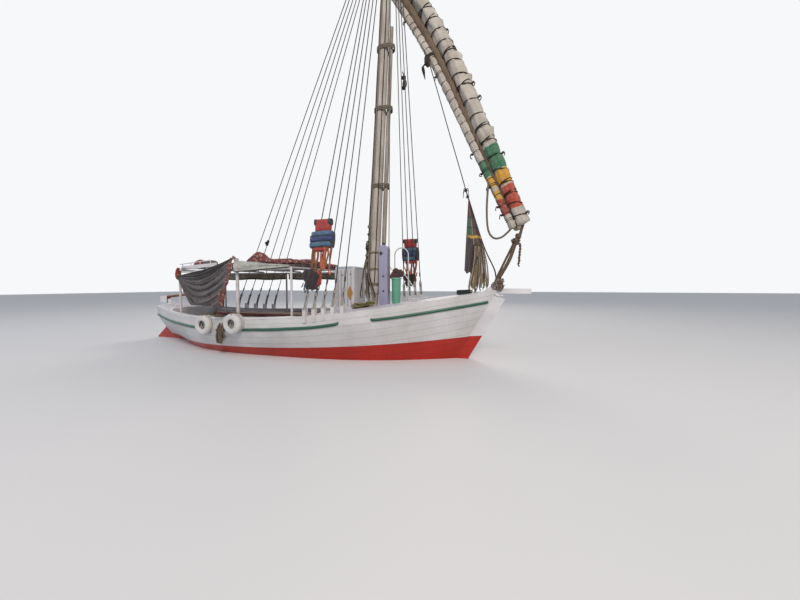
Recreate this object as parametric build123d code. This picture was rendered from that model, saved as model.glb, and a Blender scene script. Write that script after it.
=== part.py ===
"""River felucca, eight metres of hull, lying afloat with her sail furled on its lowered yard.

Millimetres. +X is the bow, +Y is port, +Z is up. The origin is amidships on the
centreline at the waterline, so everything with a negative z is under water.
"""
from build123d import *
import math
import os

os.makedirs("parts", exist_ok=True)

# Hull
HULL_STATIONS = [
    # Each row is a station plane, raked so that its x is x_waterline + rake * z.
    # x_waterline, rake, keel_z, half_waterline, half_strake, strake_z, bilge, flare
    (3185, 0.570, -300, 58, 84, 975, 6, 3),
    (2850, 0.500, -400, 230, 310, 900, 30, 8),
    (2115, 0.380, -450, 560, 690, 750, 90, 15),
    (838, 0.200, -480, 830, 1080, 560, 150, 25),
    (-300, 0.000, -480, 885, 1190, 490, 165, 30),
    (-1500, -0.080, -470, 790, 1040, 465, 115, 35),
    (-2500, -0.170, -440, 380, 740, 510, 20, 40),
    (-3290, -0.247, -400, 62, 420, 600, 6, 40),
]
BULWARK_HEIGHT = 200
BULWARK_TUMBLE = 12
PLANK = 60
DECK_CAMBER = 35
DECK_PLANK = 35
SOLE_Z = 250
SOLE_PLANK = 30
BENCH_Z = 520
BENCH_INNER_Y = 430
BENCH_FORE_X = 640
CUSHION_THICK = 80
CUSHION_EASE = 12
BOOT_TOP_AFT = (-4200, 165)
BOOT_TOP_MIDDLE = (0, 175)
BOOT_TOP_FORE = (4200, 465)
STRAKE_HEIGHT = 54
STRAKE_OUT = 28
STRAKE_ROOT = 25
COCKPIT_FORE_X = 900
COCKPIT_AFT_X = -2850
REACH = 9000
CLEAR = 0.3

# Backbone
KEEL_THICK = 80
KEEL_BELOW = 110
STEM_DEPTH = 215
STERNPOST_DEPTH = 100
STEMHEAD_Z = 1270
SCROLL_RADIUS = 110
SCROLL_CENTRE = (4002, 1138)
MOORING_BORE_RADIUS = 22
MOORING_BORE_AT = (3832, 1205)
BOW_BEAM_SIZE = 82
BOW_BEAM_TIP_X = 4380
BOW_BEAM_Z = 1160

# Mast, post and spare poles
MAST_RAKE = 3.0
MAST_FOOT = (1640, 1070)
MAST_STEP_Z = 600
MAST_HEAD_Z = 8650
MAST_FOOT_RADIUS = 105
MAST_HEAD_RADIUS = 70
POST_X = 1872
POST_WIDTH = 168
POST_THICK = 150
POST_TOP_Z = 1990
POLE_RADIUS = 42
POLE_TOP_Z = 5800

# Yard
YARD_STATIONS = [
    # Centre of the spar from the heel up to the peak.
    # x, z, spar_radius, fore_roll_radius, aft_roll_radius
    (4150, 2205, 52, 105, 62),
    (3468, 3800, 70, 132, 68),
    (2769, 5400, 84, 142, 68),
    (1940, 6920, 88, 145, 66),
    (742, 8837, 78, 125, 60),
    (-610, 10698, 60, 95, 48),
    (-2024, 12383, 38, 55, 32),
]
YARD_HEEL_Y = 50
YARD_SLING_Y = 450
SLING_STATION = 3
SLING_CLEAR = 8
SLING_WALL = 60
SLING_HEIGHT = 60
TIE_Z = 8430
TIE_RADIUS = 18

# Rudder
RUDDER_THICK = 50
RUDDER_GAP = 6
RUDDER_BOTTOM_Z = -640
RUDDER_TOP_Z = 930
RUDDER_CHORD_TOP = 290
RUDDER_CHORD_LOW = 620
TILLER_LENGTH = 900
TILLER_RISE = 90
PINTLE_RADIUS = 9
GUDGEON_HOLE_CLEAR = 1
GUDGEON_HEIGHT = 40
GUDGEON_ZS = (-180, 560)

# Awning
AWNING_POSTS = [
    # x, y, top_z, radius
    (-650, -900, 1745, 28),
    (-2480, -600, 1560, 24),
    (560, -960, 1560, 20),
    (-2480, 520, 1560, 20),
    (-900, 780, 1560, 20),
    (560, 880, 1560, 20),
]
RAIL_Z = 1535
RAIL_RADIUS = 18
BEAM_XS = (-2400, -1500, -550, 480)
BEAM_RADIUS = 16
BEAM_OVERHANG = 40
ROOF_THICK = 22
ROOF_OVERHANG = 40
CLOTH_THICK = 12
VALANCE_DROP = 160

# Deck fittings
CABINET = (970, 1370, -235, 235, 1600)
BIN_AT = (2120, -60)
BIN_TOP_Z = 1390
BIN_RADII = (70, 86)
HOOP_AT = (2050, 480)
HOOP_HALF = 140
HOOP_TOP_Z = 1990
HOOP_TUBE = 12
COIL_AT = (3330, -60)
COIL_RADII = (74, 146)
COIL_HEIGHT = 74

# Fenders
FENDER_XS = (-400, -1160)
FENDER_ZS = (600, 545)
FENDER_HALF_WIDTH = 50
TYRE_OUTSIDE = [
    # Outer face of half the tyre's section, from the bead out to the tread: radius, half_width.
    (78, 30),
    (88, 46),
    (132, 50),
    (162, 40),
    (175, 18),
]
TYRE_WALL = 9
FENDER_ROPE = 8

# Life jackets and flag
JACKET_SIZE = (470, 150, 520)
STRAP_DROP = 380
FLAG_OUTLINE = [(3377, 2718), (3320, 1484), (3440, 1450), (3629, 1923)]
FLAG_THICK = 8

# Rigging
LINE_RADIUS = 8
COLLAR_Z = 8250
COLLAR_HEIGHT = 100
COLLAR_WALL = 44
STAY_SETS = {
    # name: side, chain plate xs, bearing of each upper end round the mast in degrees
    "shrouds_starboard": (-1, [1500, 1350, 1200, 1050, 900], [-76, -90, -104, -118, -132]),
    "shrouds_port": (1, [2400, 2270, 2140, 2010], [50, 65, 80, 95]),
    "backstays": (1, [-1500, -1720, -1940, -2160, -2380], [115, 129, 143, 157, 171]),
}
PLATE_WIDTH = 60
PLATE_HEIGHT = 230

SIDES = (-1, 1)


def save(name, *shapes):
    solids = [solid for shape in shapes for solid in shape.solids()]
    export_step(solids[0] if len(solids) == 1 else Compound(solids), f"parts/{name}.step")


def biggest(shape):
    return max(shape.solids(), key=lambda solid: solid.volume)


def box_between(low, high):
    size = [b - a for a, b in zip(low, high)]
    middle = [(a + b) / 2 for a, b in zip(low, high)]
    return Pos(*middle) * Box(*size)


def rod(start, end, radius, end_radius=None):
    start = Vector(*start)
    end = Vector(*end)
    axis = end - start
    plane = Plane(start, z_dir=axis)
    if end_radius is None:
        return plane * Cylinder(radius, axis.length, align=(Align.CENTER, Align.CENTER, Align.MIN))
    return plane * Cone(radius, end_radius, axis.length, align=(Align.CENTER, Align.CENTER, Align.MIN))


def seated(shape, carrier, y_step):
    """The shape moved along y until it lies one clearance off what carries it."""
    for _ in range(4):
        gap = shape.distance_to(carrier) - CLEAR
        if gap < CLEAR / 2:
            break
        shape = Pos(0, y_step * gap, 0) * shape
    return shape


def side_profile(edges, half_width):
    return extrude(make_face(edges), amount=half_width, dir=(0, 1, 0), both=True)


# Hull form

def station_point(station, y, z):
    return Vector(station[0] + station[1] * z, y, z)


def bulged(start, end, bulge):
    middle = (start + end) * 0.5
    run = end - start
    outward = Vector(run.Z, -run.Y) / math.hypot(run.Y, run.Z)
    return Vector(middle.X, middle.Y + outward.X * bulge, middle.Z + outward.Y * bulge)


def hull_section(station, inset, lift):
    x, rake, keel_z, half_waterline, half_strake, strake_z, bilge, flare = station
    narrow = KEEL_THICK / 2 - 3
    waterline = max(half_waterline - inset, narrow)
    strake = max(half_strake - inset, narrow)
    top_z = strake_z + BULWARK_HEIGHT + lift
    top = max(strake - BULWARK_TUMBLE, narrow - 2)
    keel = station_point(station, 0, keel_z + inset)
    rows = [(waterline, 0, bilge), (strake, strake_z, flare)]
    edges = []
    for side in SIDES:
        last = keel
        for half, z, bulge in rows:
            point = station_point(station, half * side, z)
            on_side = bulged(Vector(last.X, abs(last.Y), last.Z), Vector(point.X, half, z), bulge)
            plane_x = station_point(station, 0, on_side.Z).X
            edges.append(ThreePointArc(last, Vector(plane_x, on_side.Y * side, on_side.Z), point))
            last = point
        edges.append(Line(last, station_point(station, top * side, top_z)))
    crown = station_point(station, 0, top_z + DECK_CAMBER * min(1, top / 600))
    ends = [station_point(station, top * side, top_z) for side in SIDES]
    edges.append(ThreePointArc(ends[0], crown, ends[1]))
    return Wire(Wire.combine(edges)[0].edges())


def hull_form(inset=0, lift=0):
    return Solid.make_loft([hull_section(station, inset, lift) for station in HULL_STATIONS])


def strake_strip(side):
    wires = []
    for station in HULL_STATIONS:
        half = station[4]
        z = station[5]
        corners = [
            (half - STRAKE_ROOT, z - STRAKE_HEIGHT / 2),
            (half + STRAKE_OUT, z - STRAKE_HEIGHT / 2),
            (half + STRAKE_OUT, z + STRAKE_HEIGHT / 2),
            (half - STRAKE_ROOT, z + STRAKE_HEIGHT / 2),
        ]
        wires.append(Wire.make_polygon([station_point(station, y * side, z) for y, z in corners]))
    return Solid.make_loft(wires, ruled=True)


def below_boot_top():
    aft, middle, fore = [Vector(x, 0, z) for x, z in (BOOT_TOP_AFT, BOOT_TOP_MIDDLE, BOOT_TOP_FORE)]
    low_fore = Vector(fore.X, 0, -REACH / 8)
    low_aft = Vector(aft.X, 0, -REACH / 8)
    edges = [ThreePointArc(aft, middle, fore), Polyline(fore, low_fore, low_aft, aft)]
    return side_profile(edges, REACH / 4)


def strake_line(x):
    """Height and half breadth of the rubbing strake at x, straight between stations."""
    rows = [(row[0] + row[1] * row[5], row[5], row[4]) for row in HULL_STATIONS]
    for fore, aft in zip(rows, rows[1:]):
        if aft[0] <= x <= fore[0]:
            part = (x - aft[0]) / (fore[0] - aft[0])
            return aft[1] + part * (fore[1] - aft[1]), aft[2] + part * (fore[2] - aft[2])
    raise ValueError(x)


def rail_top(x):
    return strake_line(x)[0] + BULWARK_HEIGHT


def rail_half(x):
    return strake_line(x)[1] - BULWARK_TUMBLE


# Backbone

def backbone():
    bow = HULL_STATIONS[0]
    stern = HULL_STATIONS[-1]
    keel_low = min(row[2] for row in HULL_STATIONS) - KEEL_BELOW

    def stem_front(z):
        return Vector(bow[0] + bow[1] * z + STEM_DEPTH, 0, z)

    def post_aft(z):
        return Vector(stern[0] + stern[1] * z - STERNPOST_DEPTH, 0, z)

    stern_top_z = stern[5] + BULWARK_HEIGHT
    head_aft = Vector(SCROLL_CENTRE[0] - 245, 0, STEMHEAD_Z - 30)
    head_fore = Vector(SCROLL_CENTRE[0] - 60, 0, STEMHEAD_Z - 10)
    forefoot_top = stem_front(-40)
    forefoot_low = Vector(2300, 0, keel_low)
    forefoot_middle = Vector(2980, 0, keel_low + 165)
    crown = Vector((head_aft.X + head_fore.X) / 2, 0, STEMHEAD_Z + 8)
    deck_aft = Vector(head_aft.X - 170, 0, bow[5] + BULWARK_HEIGHT - 60)
    inside_fore = Vector(deck_aft.X - 300, 0, 500)
    inside_low = Vector(2100, 0, -260)
    inside_aft = Vector(stern[0] + 60, 0, -200)
    inside_top = Vector(post_aft(stern_top_z).X + STERNPOST_DEPTH + 30, 0, stern_top_z)
    edges = [
        ThreePointArc(head_aft, crown, head_fore),
        Polyline(head_fore, stem_front(1230), forefoot_top),
        ThreePointArc(forefoot_top, forefoot_middle, forefoot_low),
        Polyline(
            forefoot_low, Vector(post_aft(keel_low).X, 0, keel_low), post_aft(stern_top_z),
            inside_top, inside_aft, inside_low, inside_fore, deck_aft, head_aft,
        ),
    ]
    timber = side_profile(edges, KEEL_THICK / 2)
    scroll = Pos(SCROLL_CENTRE[0], 0, SCROLL_CENTRE[1]) * Rot(90, 0, 0) * Cylinder(SCROLL_RADIUS, 300)
    bore = Pos(MOORING_BORE_AT[0], 0, MOORING_BORE_AT[1]) * Rot(90, 0, 0)
    bore = bore * Cylinder(MOORING_BORE_RADIUS, 300)
    return timber - scroll - bore


def bow_beam(stem):
    low = (SCROLL_CENTRE[0] - SCROLL_RADIUS - 30, -BOW_BEAM_SIZE / 2, BOW_BEAM_Z - BOW_BEAM_SIZE / 2)
    high = (BOW_BEAM_TIP_X, BOW_BEAM_SIZE / 2, BOW_BEAM_Z + BOW_BEAM_SIZE / 2)
    beam = box_between(low, high)
    return biggest(beam - stem)


# Mast and its companions

def mast_axis(z):
    return (MAST_FOOT[0] + (z - MAST_FOOT[1]) * math.tan(math.radians(MAST_RAKE)), 0, z)


def mast_radius(z):
    part = (z - MAST_STEP_Z) / (MAST_HEAD_Z - MAST_STEP_Z)
    return MAST_FOOT_RADIUS + part * (MAST_HEAD_RADIUS - MAST_FOOT_RADIUS)


def mast():
    pole = rod(mast_axis(MAST_STEP_Z), mast_axis(MAST_HEAD_Z), MAST_FOOT_RADIUS, MAST_HEAD_RADIUS)
    collar_z = 1110
    collar = rod(mast_axis(collar_z), mast_axis(collar_z + 120), MAST_FOOT_RADIUS + 14)
    return pole + collar


def mast_post():
    half_width = POST_WIDTH / 2
    shoulder = POST_TOP_Z - half_width
    low_aft = Vector(POST_X - half_width, 0, MAST_STEP_Z)
    low_fore = Vector(POST_X + half_width, 0, MAST_STEP_Z)
    top_aft = Vector(POST_X - half_width, 0, shoulder)
    top_fore = Vector(POST_X + half_width, 0, shoulder)
    crown = Vector(POST_X, 0, POST_TOP_Z)
    edges = [Polyline(top_fore, low_fore, low_aft, top_aft), ThreePointArc(top_aft, crown, top_fore)]
    return side_profile(edges, POST_THICK / 2)


def spare_poles(carriers):
    poles = []
    for forward, port, foot_z in ((150, 0, POST_TOP_Z + 40), (115, 125, rail_top(1900) - 60)):
        foot = mast_axis(foot_z)
        top = mast_axis(POLE_TOP_Z - port)
        start = (foot[0] + forward + 20, port, foot_z)
        end = (top[0] + forward - 20, port * 0.7, top[2])
        poles.append(rod(start, end, POLE_RADIUS, POLE_RADIUS * 0.8))
    return [biggest(pole - carriers) for pole in poles]


def masthead_collar(mast_pole):
    half = COLLAR_HEIGHT / 2
    low = mast_axis(COLLAR_Z - half)
    high = mast_axis(COLLAR_Z + half)
    return rod(low, high, mast_radius(COLLAR_Z) + COLLAR_WALL) - mast_pole


def stay_set(side, plate_xs, bearings, collar, carriers):
    """Each line runs from the underside of the masthead collar to its own chain plate."""
    shapes = []
    top_z = COLLAR_Z - COLLAR_HEIGHT / 2 + 12
    axis = mast_axis(top_z)
    spread = mast_radius(top_z) + COLLAR_WALL / 2
    for x, bearing in zip(plate_xs, bearings):
        foot_z = rail_top(x) - 110
        out = rail_half(x)
        plate = box_between(
            (x - PLATE_WIDTH / 2, out - 40, foot_z),
            (x + PLATE_WIDTH / 2, out + 38, foot_z + PLATE_HEIGHT),
        )
        if side < 0:
            plate = mirror(plate, Plane.XZ)
        angle = math.radians(bearing)
        top = (axis[0] + spread * math.cos(angle), spread * math.sin(angle), top_z)
        foot = (x, side * (out + 18), foot_z + PLATE_HEIGHT - 20)
        line = rod(foot, top, LINE_RADIUS) - collar
        shapes.append(line + biggest(plate - carriers))
    return shapes


# Yard

def yard_direction(index):
    first = YARD_STATIONS[max(index - 1, 0)]
    last = YARD_STATIONS[min(index + 1, len(YARD_STATIONS) - 1)]
    return (yard_point(last[0], last[1]) - yard_point(first[0], first[1])).normalized()


def yard_point(x, z):
    heel = YARD_STATIONS[0]
    sling = YARD_STATIONS[SLING_STATION]
    part = (z - heel[1]) / (sling[1] - heel[1])
    return Vector(x, YARD_HEEL_Y + part * (YARD_SLING_Y - YARD_HEEL_Y), z)


def yard_across(index):
    """Unit vector square to the yard in its own plane, pointing forward and up."""
    along = yard_direction(index)
    beam = Vector(0, 1, 0)
    return beam.cross(along).normalized()


def along_yard(column, offset_column=None, offset_side=0):
    wires = []
    for index, row in enumerate(YARD_STATIONS):
        centre = yard_point(row[0], row[1])
        if offset_column is not None:
            shift = (row[2] + row[offset_column] + CLEAR) * offset_side
            centre = centre + yard_across(index) * shift
        plane = Plane(centre, x_dir=yard_across(index), z_dir=yard_direction(index))
        wires.append((plane * Circle(row[column])).wire())
    return Solid.make_loft(wires, ruled=True)


def yard_sling():
    """A collar that turns on the masthead, and the tie that hangs the yard from it outside the shrouds."""
    inner = mast_radius(TIE_Z) + SLING_CLEAR
    half = SLING_HEIGHT / 2
    ring = rod(mast_axis(TIE_Z - half), mast_axis(TIE_Z + half), inner + SLING_WALL)
    bore = rod(mast_axis(TIE_Z - 2 * half), mast_axis(TIE_Z + 2 * half), inner)
    centre = yard_point(*YARD_STATIONS[SLING_STATION][:2])
    tie = rod((mast_axis(TIE_Z)[0], inner + SLING_WALL - TIE_RADIUS, TIE_Z), tuple(centre), TIE_RADIUS)
    return ring + tie - bore


# Rudder

def hinge_point(z, out=0):
    stern = HULL_STATIONS[-1]
    aft = STERNPOST_DEPTH + RUDDER_GAP + RUDDER_THICK / 2 + out
    return Vector(stern[0] + stern[1] * z - aft, 0, z)


def rudder():
    half = RUDDER_THICK / 2
    edges = Polyline(
        hinge_point(RUDDER_TOP_Z), hinge_point(RUDDER_TOP_Z, RUDDER_CHORD_TOP),
        hinge_point(250, RUDDER_CHORD_TOP), hinge_point(20, RUDDER_CHORD_LOW),
        hinge_point(RUDDER_BOTTOM_Z + 60, RUDDER_CHORD_LOW - 60),
        hinge_point(RUDDER_BOTTOM_Z, RUDDER_CHORD_LOW - 160), hinge_point(RUDDER_BOTTOM_Z),
        close=True,
    )
    blade = side_profile([edges], half)
    nose = rod(tuple(hinge_point(RUDDER_BOTTOM_Z)), tuple(hinge_point(RUDDER_TOP_Z)), half)
    shape = blade + nose
    for z in GUDGEON_ZS:
        notch = GUDGEON_HEIGHT / 2 + 6
        cut = rod(tuple(hinge_point(z - notch)), tuple(hinge_point(z + notch)), half + 14)
        pin = rod(tuple(hinge_point(z - notch - 20)), tuple(hinge_point(z + notch + 20)), PINTLE_RADIUS)
        shape = shape - cut + pin
    return shape


def tiller():
    head = hinge_point(RUDDER_TOP_Z, RUDDER_CHORD_TOP / 2)
    start = (head.X - 60, 0, RUDDER_TOP_Z + 36)
    end = (head.X + TILLER_LENGTH, 0, RUDDER_TOP_Z + 36 + TILLER_RISE)
    cheek = box_between(
        (head.X - 110, -45, RUDDER_TOP_Z - 90),
        (head.X + 110, 45, RUDDER_TOP_Z + 70),
    )
    return rod(start, end, 30, 20) + cheek


def gudgeons(sternpost):
    pieces = []
    for z in GUDGEON_ZS:
        half = GUDGEON_HEIGHT / 2
        eye = rod(tuple(hinge_point(z - half)), tuple(hinge_point(z + half)), PINTLE_RADIUS + 13)
        front = Vector(*hinge_point(z)) + Vector(STERNPOST_DEPTH, 0, 0)
        strap = box_between((hinge_point(z).X, -22, z - half), (front.X, 22, z + half))
        hole_radius = PINTLE_RADIUS + GUDGEON_HOLE_CLEAR
        hole = rod(tuple(hinge_point(z - 100)), tuple(hinge_point(z + 100)), hole_radius)
        pieces.append(biggest(eye + strap - sternpost - hole))
    return pieces


# Awning

def posts_on(side):
    return [row for row in sorted(AWNING_POSTS) if row[1] * side > 0]


def awning_posts(side):
    return [rod((x, y, BENCH_Z), (x, y, top_z), radius) for x, y, top_z, radius in posts_on(side)]


def awning_rails(side, posts):
    rows = posts_on(side)
    rails = []
    for aft, fore in zip(rows, rows[1:]):
        rail = rod((aft[0], aft[1], RAIL_Z), (fore[0], fore[1], RAIL_Z), RAIL_RADIUS)
        rails.append(biggest(rail - posts))
    return rails


def rail_y(side, x):
    rows = posts_on(side)
    for aft, fore in zip(rows, rows[1:]):
        if x <= fore[0] or fore is rows[-1]:
            part = (x - aft[0]) / (fore[0] - aft[0])
            return aft[1] + part * (fore[1] - aft[1])


def awning_beams(carriers):
    z = RAIL_Z + RAIL_RADIUS + BEAM_RADIUS - 3
    beams = []
    for x in BEAM_XS:
        starboard = (x, rail_y(-1, x) - BEAM_OVERHANG, z)
        port = (x, rail_y(1, x) + BEAM_OVERHANG, z)
        beams.append(biggest(rod(starboard, port, BEAM_RADIUS) - carriers))
    return beams


def roof_base_z():
    return RAIL_Z + RAIL_RADIUS + 2 * BEAM_RADIUS - 3 + CLEAR


def awning_roof():
    aft_x = BEAM_XS[0] - ROOF_OVERHANG
    fore_x = BEAM_XS[-1] + ROOF_OVERHANG
    corners = []
    for side, xs in ((-1, (aft_x, -650, fore_x)), (1, (fore_x, -900, aft_x))):
        corners += [Vector(x, rail_y(side, x) + side * ROOF_OVERHANG, roof_base_z()) for x in xs]
    slab = extrude(make_face(Polyline(*corners, close=True)), amount=ROOF_THICK, dir=(0, 0, 1))
    tall = posts_on(-1)[1]
    return slab - rod((tall[0], tall[1], 0), (tall[0], tall[1], 2000), tall[3] + CLEAR)


def hung_cloth(side, start_x, end_x, outline, out):
    """A thin panel square to the deck, on the outer side of the rail from start_x to end_x."""
    start = Vector(start_x, rail_y(side, start_x), 0)
    end = Vector(end_x, rail_y(side, end_x), 0)
    run = (end - start).normalized()
    outward = Vector(0, 0, 1).cross(run) * side
    base = start + outward * out
    points = [base + run * ((x - start_x) / run.X) + Vector(0, 0, z) for x, z in outline]
    face = make_face(Polyline(*points, close=True))
    return extrude(face, amount=CLOTH_THICK, dir=tuple(outward))


def awning_curtain():
    outline = [(-690, 1750), (-2440, 1450), (-1510, 850), (-1010, 850)]
    return hung_cloth(-1, -2480, -650, outline, 60)


def awning_gusset():
    outline = [(-640, 1740), (-640, 1500), (590, 1560), (590, 1585)]
    return hung_cloth(-1, -650, 560, outline, 60)


def awning_valance():
    top = RAIL_Z + 10
    panels = []
    for start_x, end_x in ((-2440, -940), (-860, 520)):
        outline = [(start_x, top), (end_x, top), (end_x, top - VALANCE_DROP), (start_x, top - VALANCE_DROP)]
        panels.append(hung_cloth(1, start_x, end_x, outline, RAIL_RADIUS + CLEAR))
    return panels


def roof_bundles():
    z = roof_base_z() + ROOF_THICK + CLEAR
    gathered = rod((-560, -640, z + 92), (470, -740, z + 92), 92, 78)
    hump = Pos(-380, -560, z + 110) * Sphere(110)
    aft = rod((-2330, -420, z + 62), (-1900, -470, z + 62), 62)
    return [gathered + hump, aft]


# Deck fittings

def galley_cabinet(carriers):
    x_low, x_high, y_low, y_high, top = CABINET
    body = box_between((x_low, y_low, 500), (x_high, y_high, top))
    upright = [edge for edge in body.edges().filter_by(Axis.Z)]
    body = fillet(upright, 30)
    body = fillet(body.edges().group_by(Axis.Z)[-1], 25)
    return biggest(body - carriers)


def deck_bin(carriers):
    x, y = BIN_AT
    body = rod((x, y, 700), (x, y, BIN_TOP_Z), BIN_RADII[0], BIN_RADII[1])
    inside = rod((x, y, 960), (x, y, BIN_TOP_Z + 1), BIN_RADII[0] - 3, BIN_RADII[1] - 5)
    rim = rod((x, y, BIN_TOP_Z - 22), (x, y, BIN_TOP_Z), BIN_RADII[1] + 7)
    return biggest(body + rim - inside - carriers)


def deck_hoop(carriers):
    x, y = HOOP_AT
    bend_z = HOOP_TOP_Z - HOOP_HALF
    arch = Pos(x, y, bend_z) * Rot(90, 0, 0) * Torus(HOOP_HALF, HOOP_TUBE)
    arch = arch & box_between((x - 400, y - 50, bend_z), (x + 400, y + 50, 3000))
    legs = [rod((x + side * HOOP_HALF, y, 800), (x + side * HOOP_HALF, y, bend_z), HOOP_TUBE) for side in SIDES]
    return biggest(arch + legs[0] + legs[1] - carriers)


def deck_coil(carriers):
    x, y = COIL_AT
    low = rail_top(x) + 18 - COIL_HEIGHT / 2
    coils = rod((x, y, low), (x, y, low + COIL_HEIGHT), COIL_RADII[1])
    middle = rod((x, y, low - COIL_HEIGHT), (x, y, low + 2 * COIL_HEIGHT), COIL_RADII[0])
    return biggest(coils - middle - carriers)


def slab_box(shape, x, low_z, high_z):
    """Bounding box of the starboard side of a shape in a thin slab across it at x."""
    return (shape & box_between((x - 180, -REACH, low_z), (x + 180, -BENCH_INNER_Y, high_z))).bounding_box()


def tyre():
    """A used scooter tyre on its own, open to the middle, its axis along y."""
    outside = [(radius, side) for radius, side in TYRE_OUTSIDE]
    inside = [(radius - TYRE_WALL, side - TYRE_WALL) for radius, side in TYRE_OUTSIDE[2:]]
    bead = (TYRE_OUTSIDE[0][0], TYRE_OUTSIDE[0][1] - TYRE_WALL)
    upper = outside + inside[::-1] + [bead]
    rim = [(radius, side) for radius, side in upper[:5]]
    hollow = [(radius, side) for radius, side in upper[5:]]
    corners = rim + [(radius, -side) for radius, side in reversed(rim)]
    corners += [(radius, -side) for radius, side in reversed(hollow)] + hollow
    face = make_face(Polyline(*[Vector(radius, 0, side) for radius, side in corners], close=True))
    return Rot(90, 0, 0) * revolve(face, Axis.Z)


def fenders(hull_side, topsides):
    shapes = []
    tread = TYRE_OUTSIDE[-1][0]
    for x, z in zip(FENDER_XS, FENDER_ZS):
        ring = Pos(x, -(rail_half(x) + 3 * FENDER_HALF_WIDTH), z) * tyre()
        ring = seated(ring, hull_side, 1)
        y = ring.center().Y
        top = slab_box(topsides, x, 0, REACH).max.Z + FENDER_ROPE + CLEAR
        drop = rod((x, y, z + tread - TYRE_WALL / 2), (x, y, top), FENDER_ROPE)
        across = rod((x, y - 2 * FENDER_ROPE, top), (x, -rail_half(x) + 90, top), FENDER_ROPE + 2)
        shapes.append(ring + drop + across)
    return shapes


def life_jacket(at, side, lean, strap_x, bundle_size):
    """A folded jacket hung outside the stays, its straps and a second bundle under it."""
    width, depth, height = JACKET_SIZE
    vest = fillet(Box(width, depth, height).edges(), 55)
    straps = Pos(strap_x, 0, -height / 2 - STRAP_DROP / 2 + 40) * Box(150, 40, STRAP_DROP)
    bundle = Pos(strap_x, 0, -height / 2 - STRAP_DROP) * fillet(Box(*bundle_size).edges(), 50)
    return Pos(*at) * Rot(side * lean, 0, 0) * (vest + straps + bundle)


def flag(stem):
    points = [Vector(x, 0, z) for x, z in FLAG_OUTLINE]
    panel = extrude(make_face(Polyline(*points, close=True)), amount=FLAG_THICK / 2, dir=(0, 1, 0), both=True)
    hoist_low = Vector(3832, 0, STEMHEAD_Z - 20)
    leech = points[-1]
    hoist_top = points[0] + (points[0] - leech).normalized() * 60
    line = rod(tuple(hoist_low), tuple(leech), 7) + rod(tuple(leech), tuple(hoist_top), 7)
    return biggest(panel + line - stem)


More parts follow.
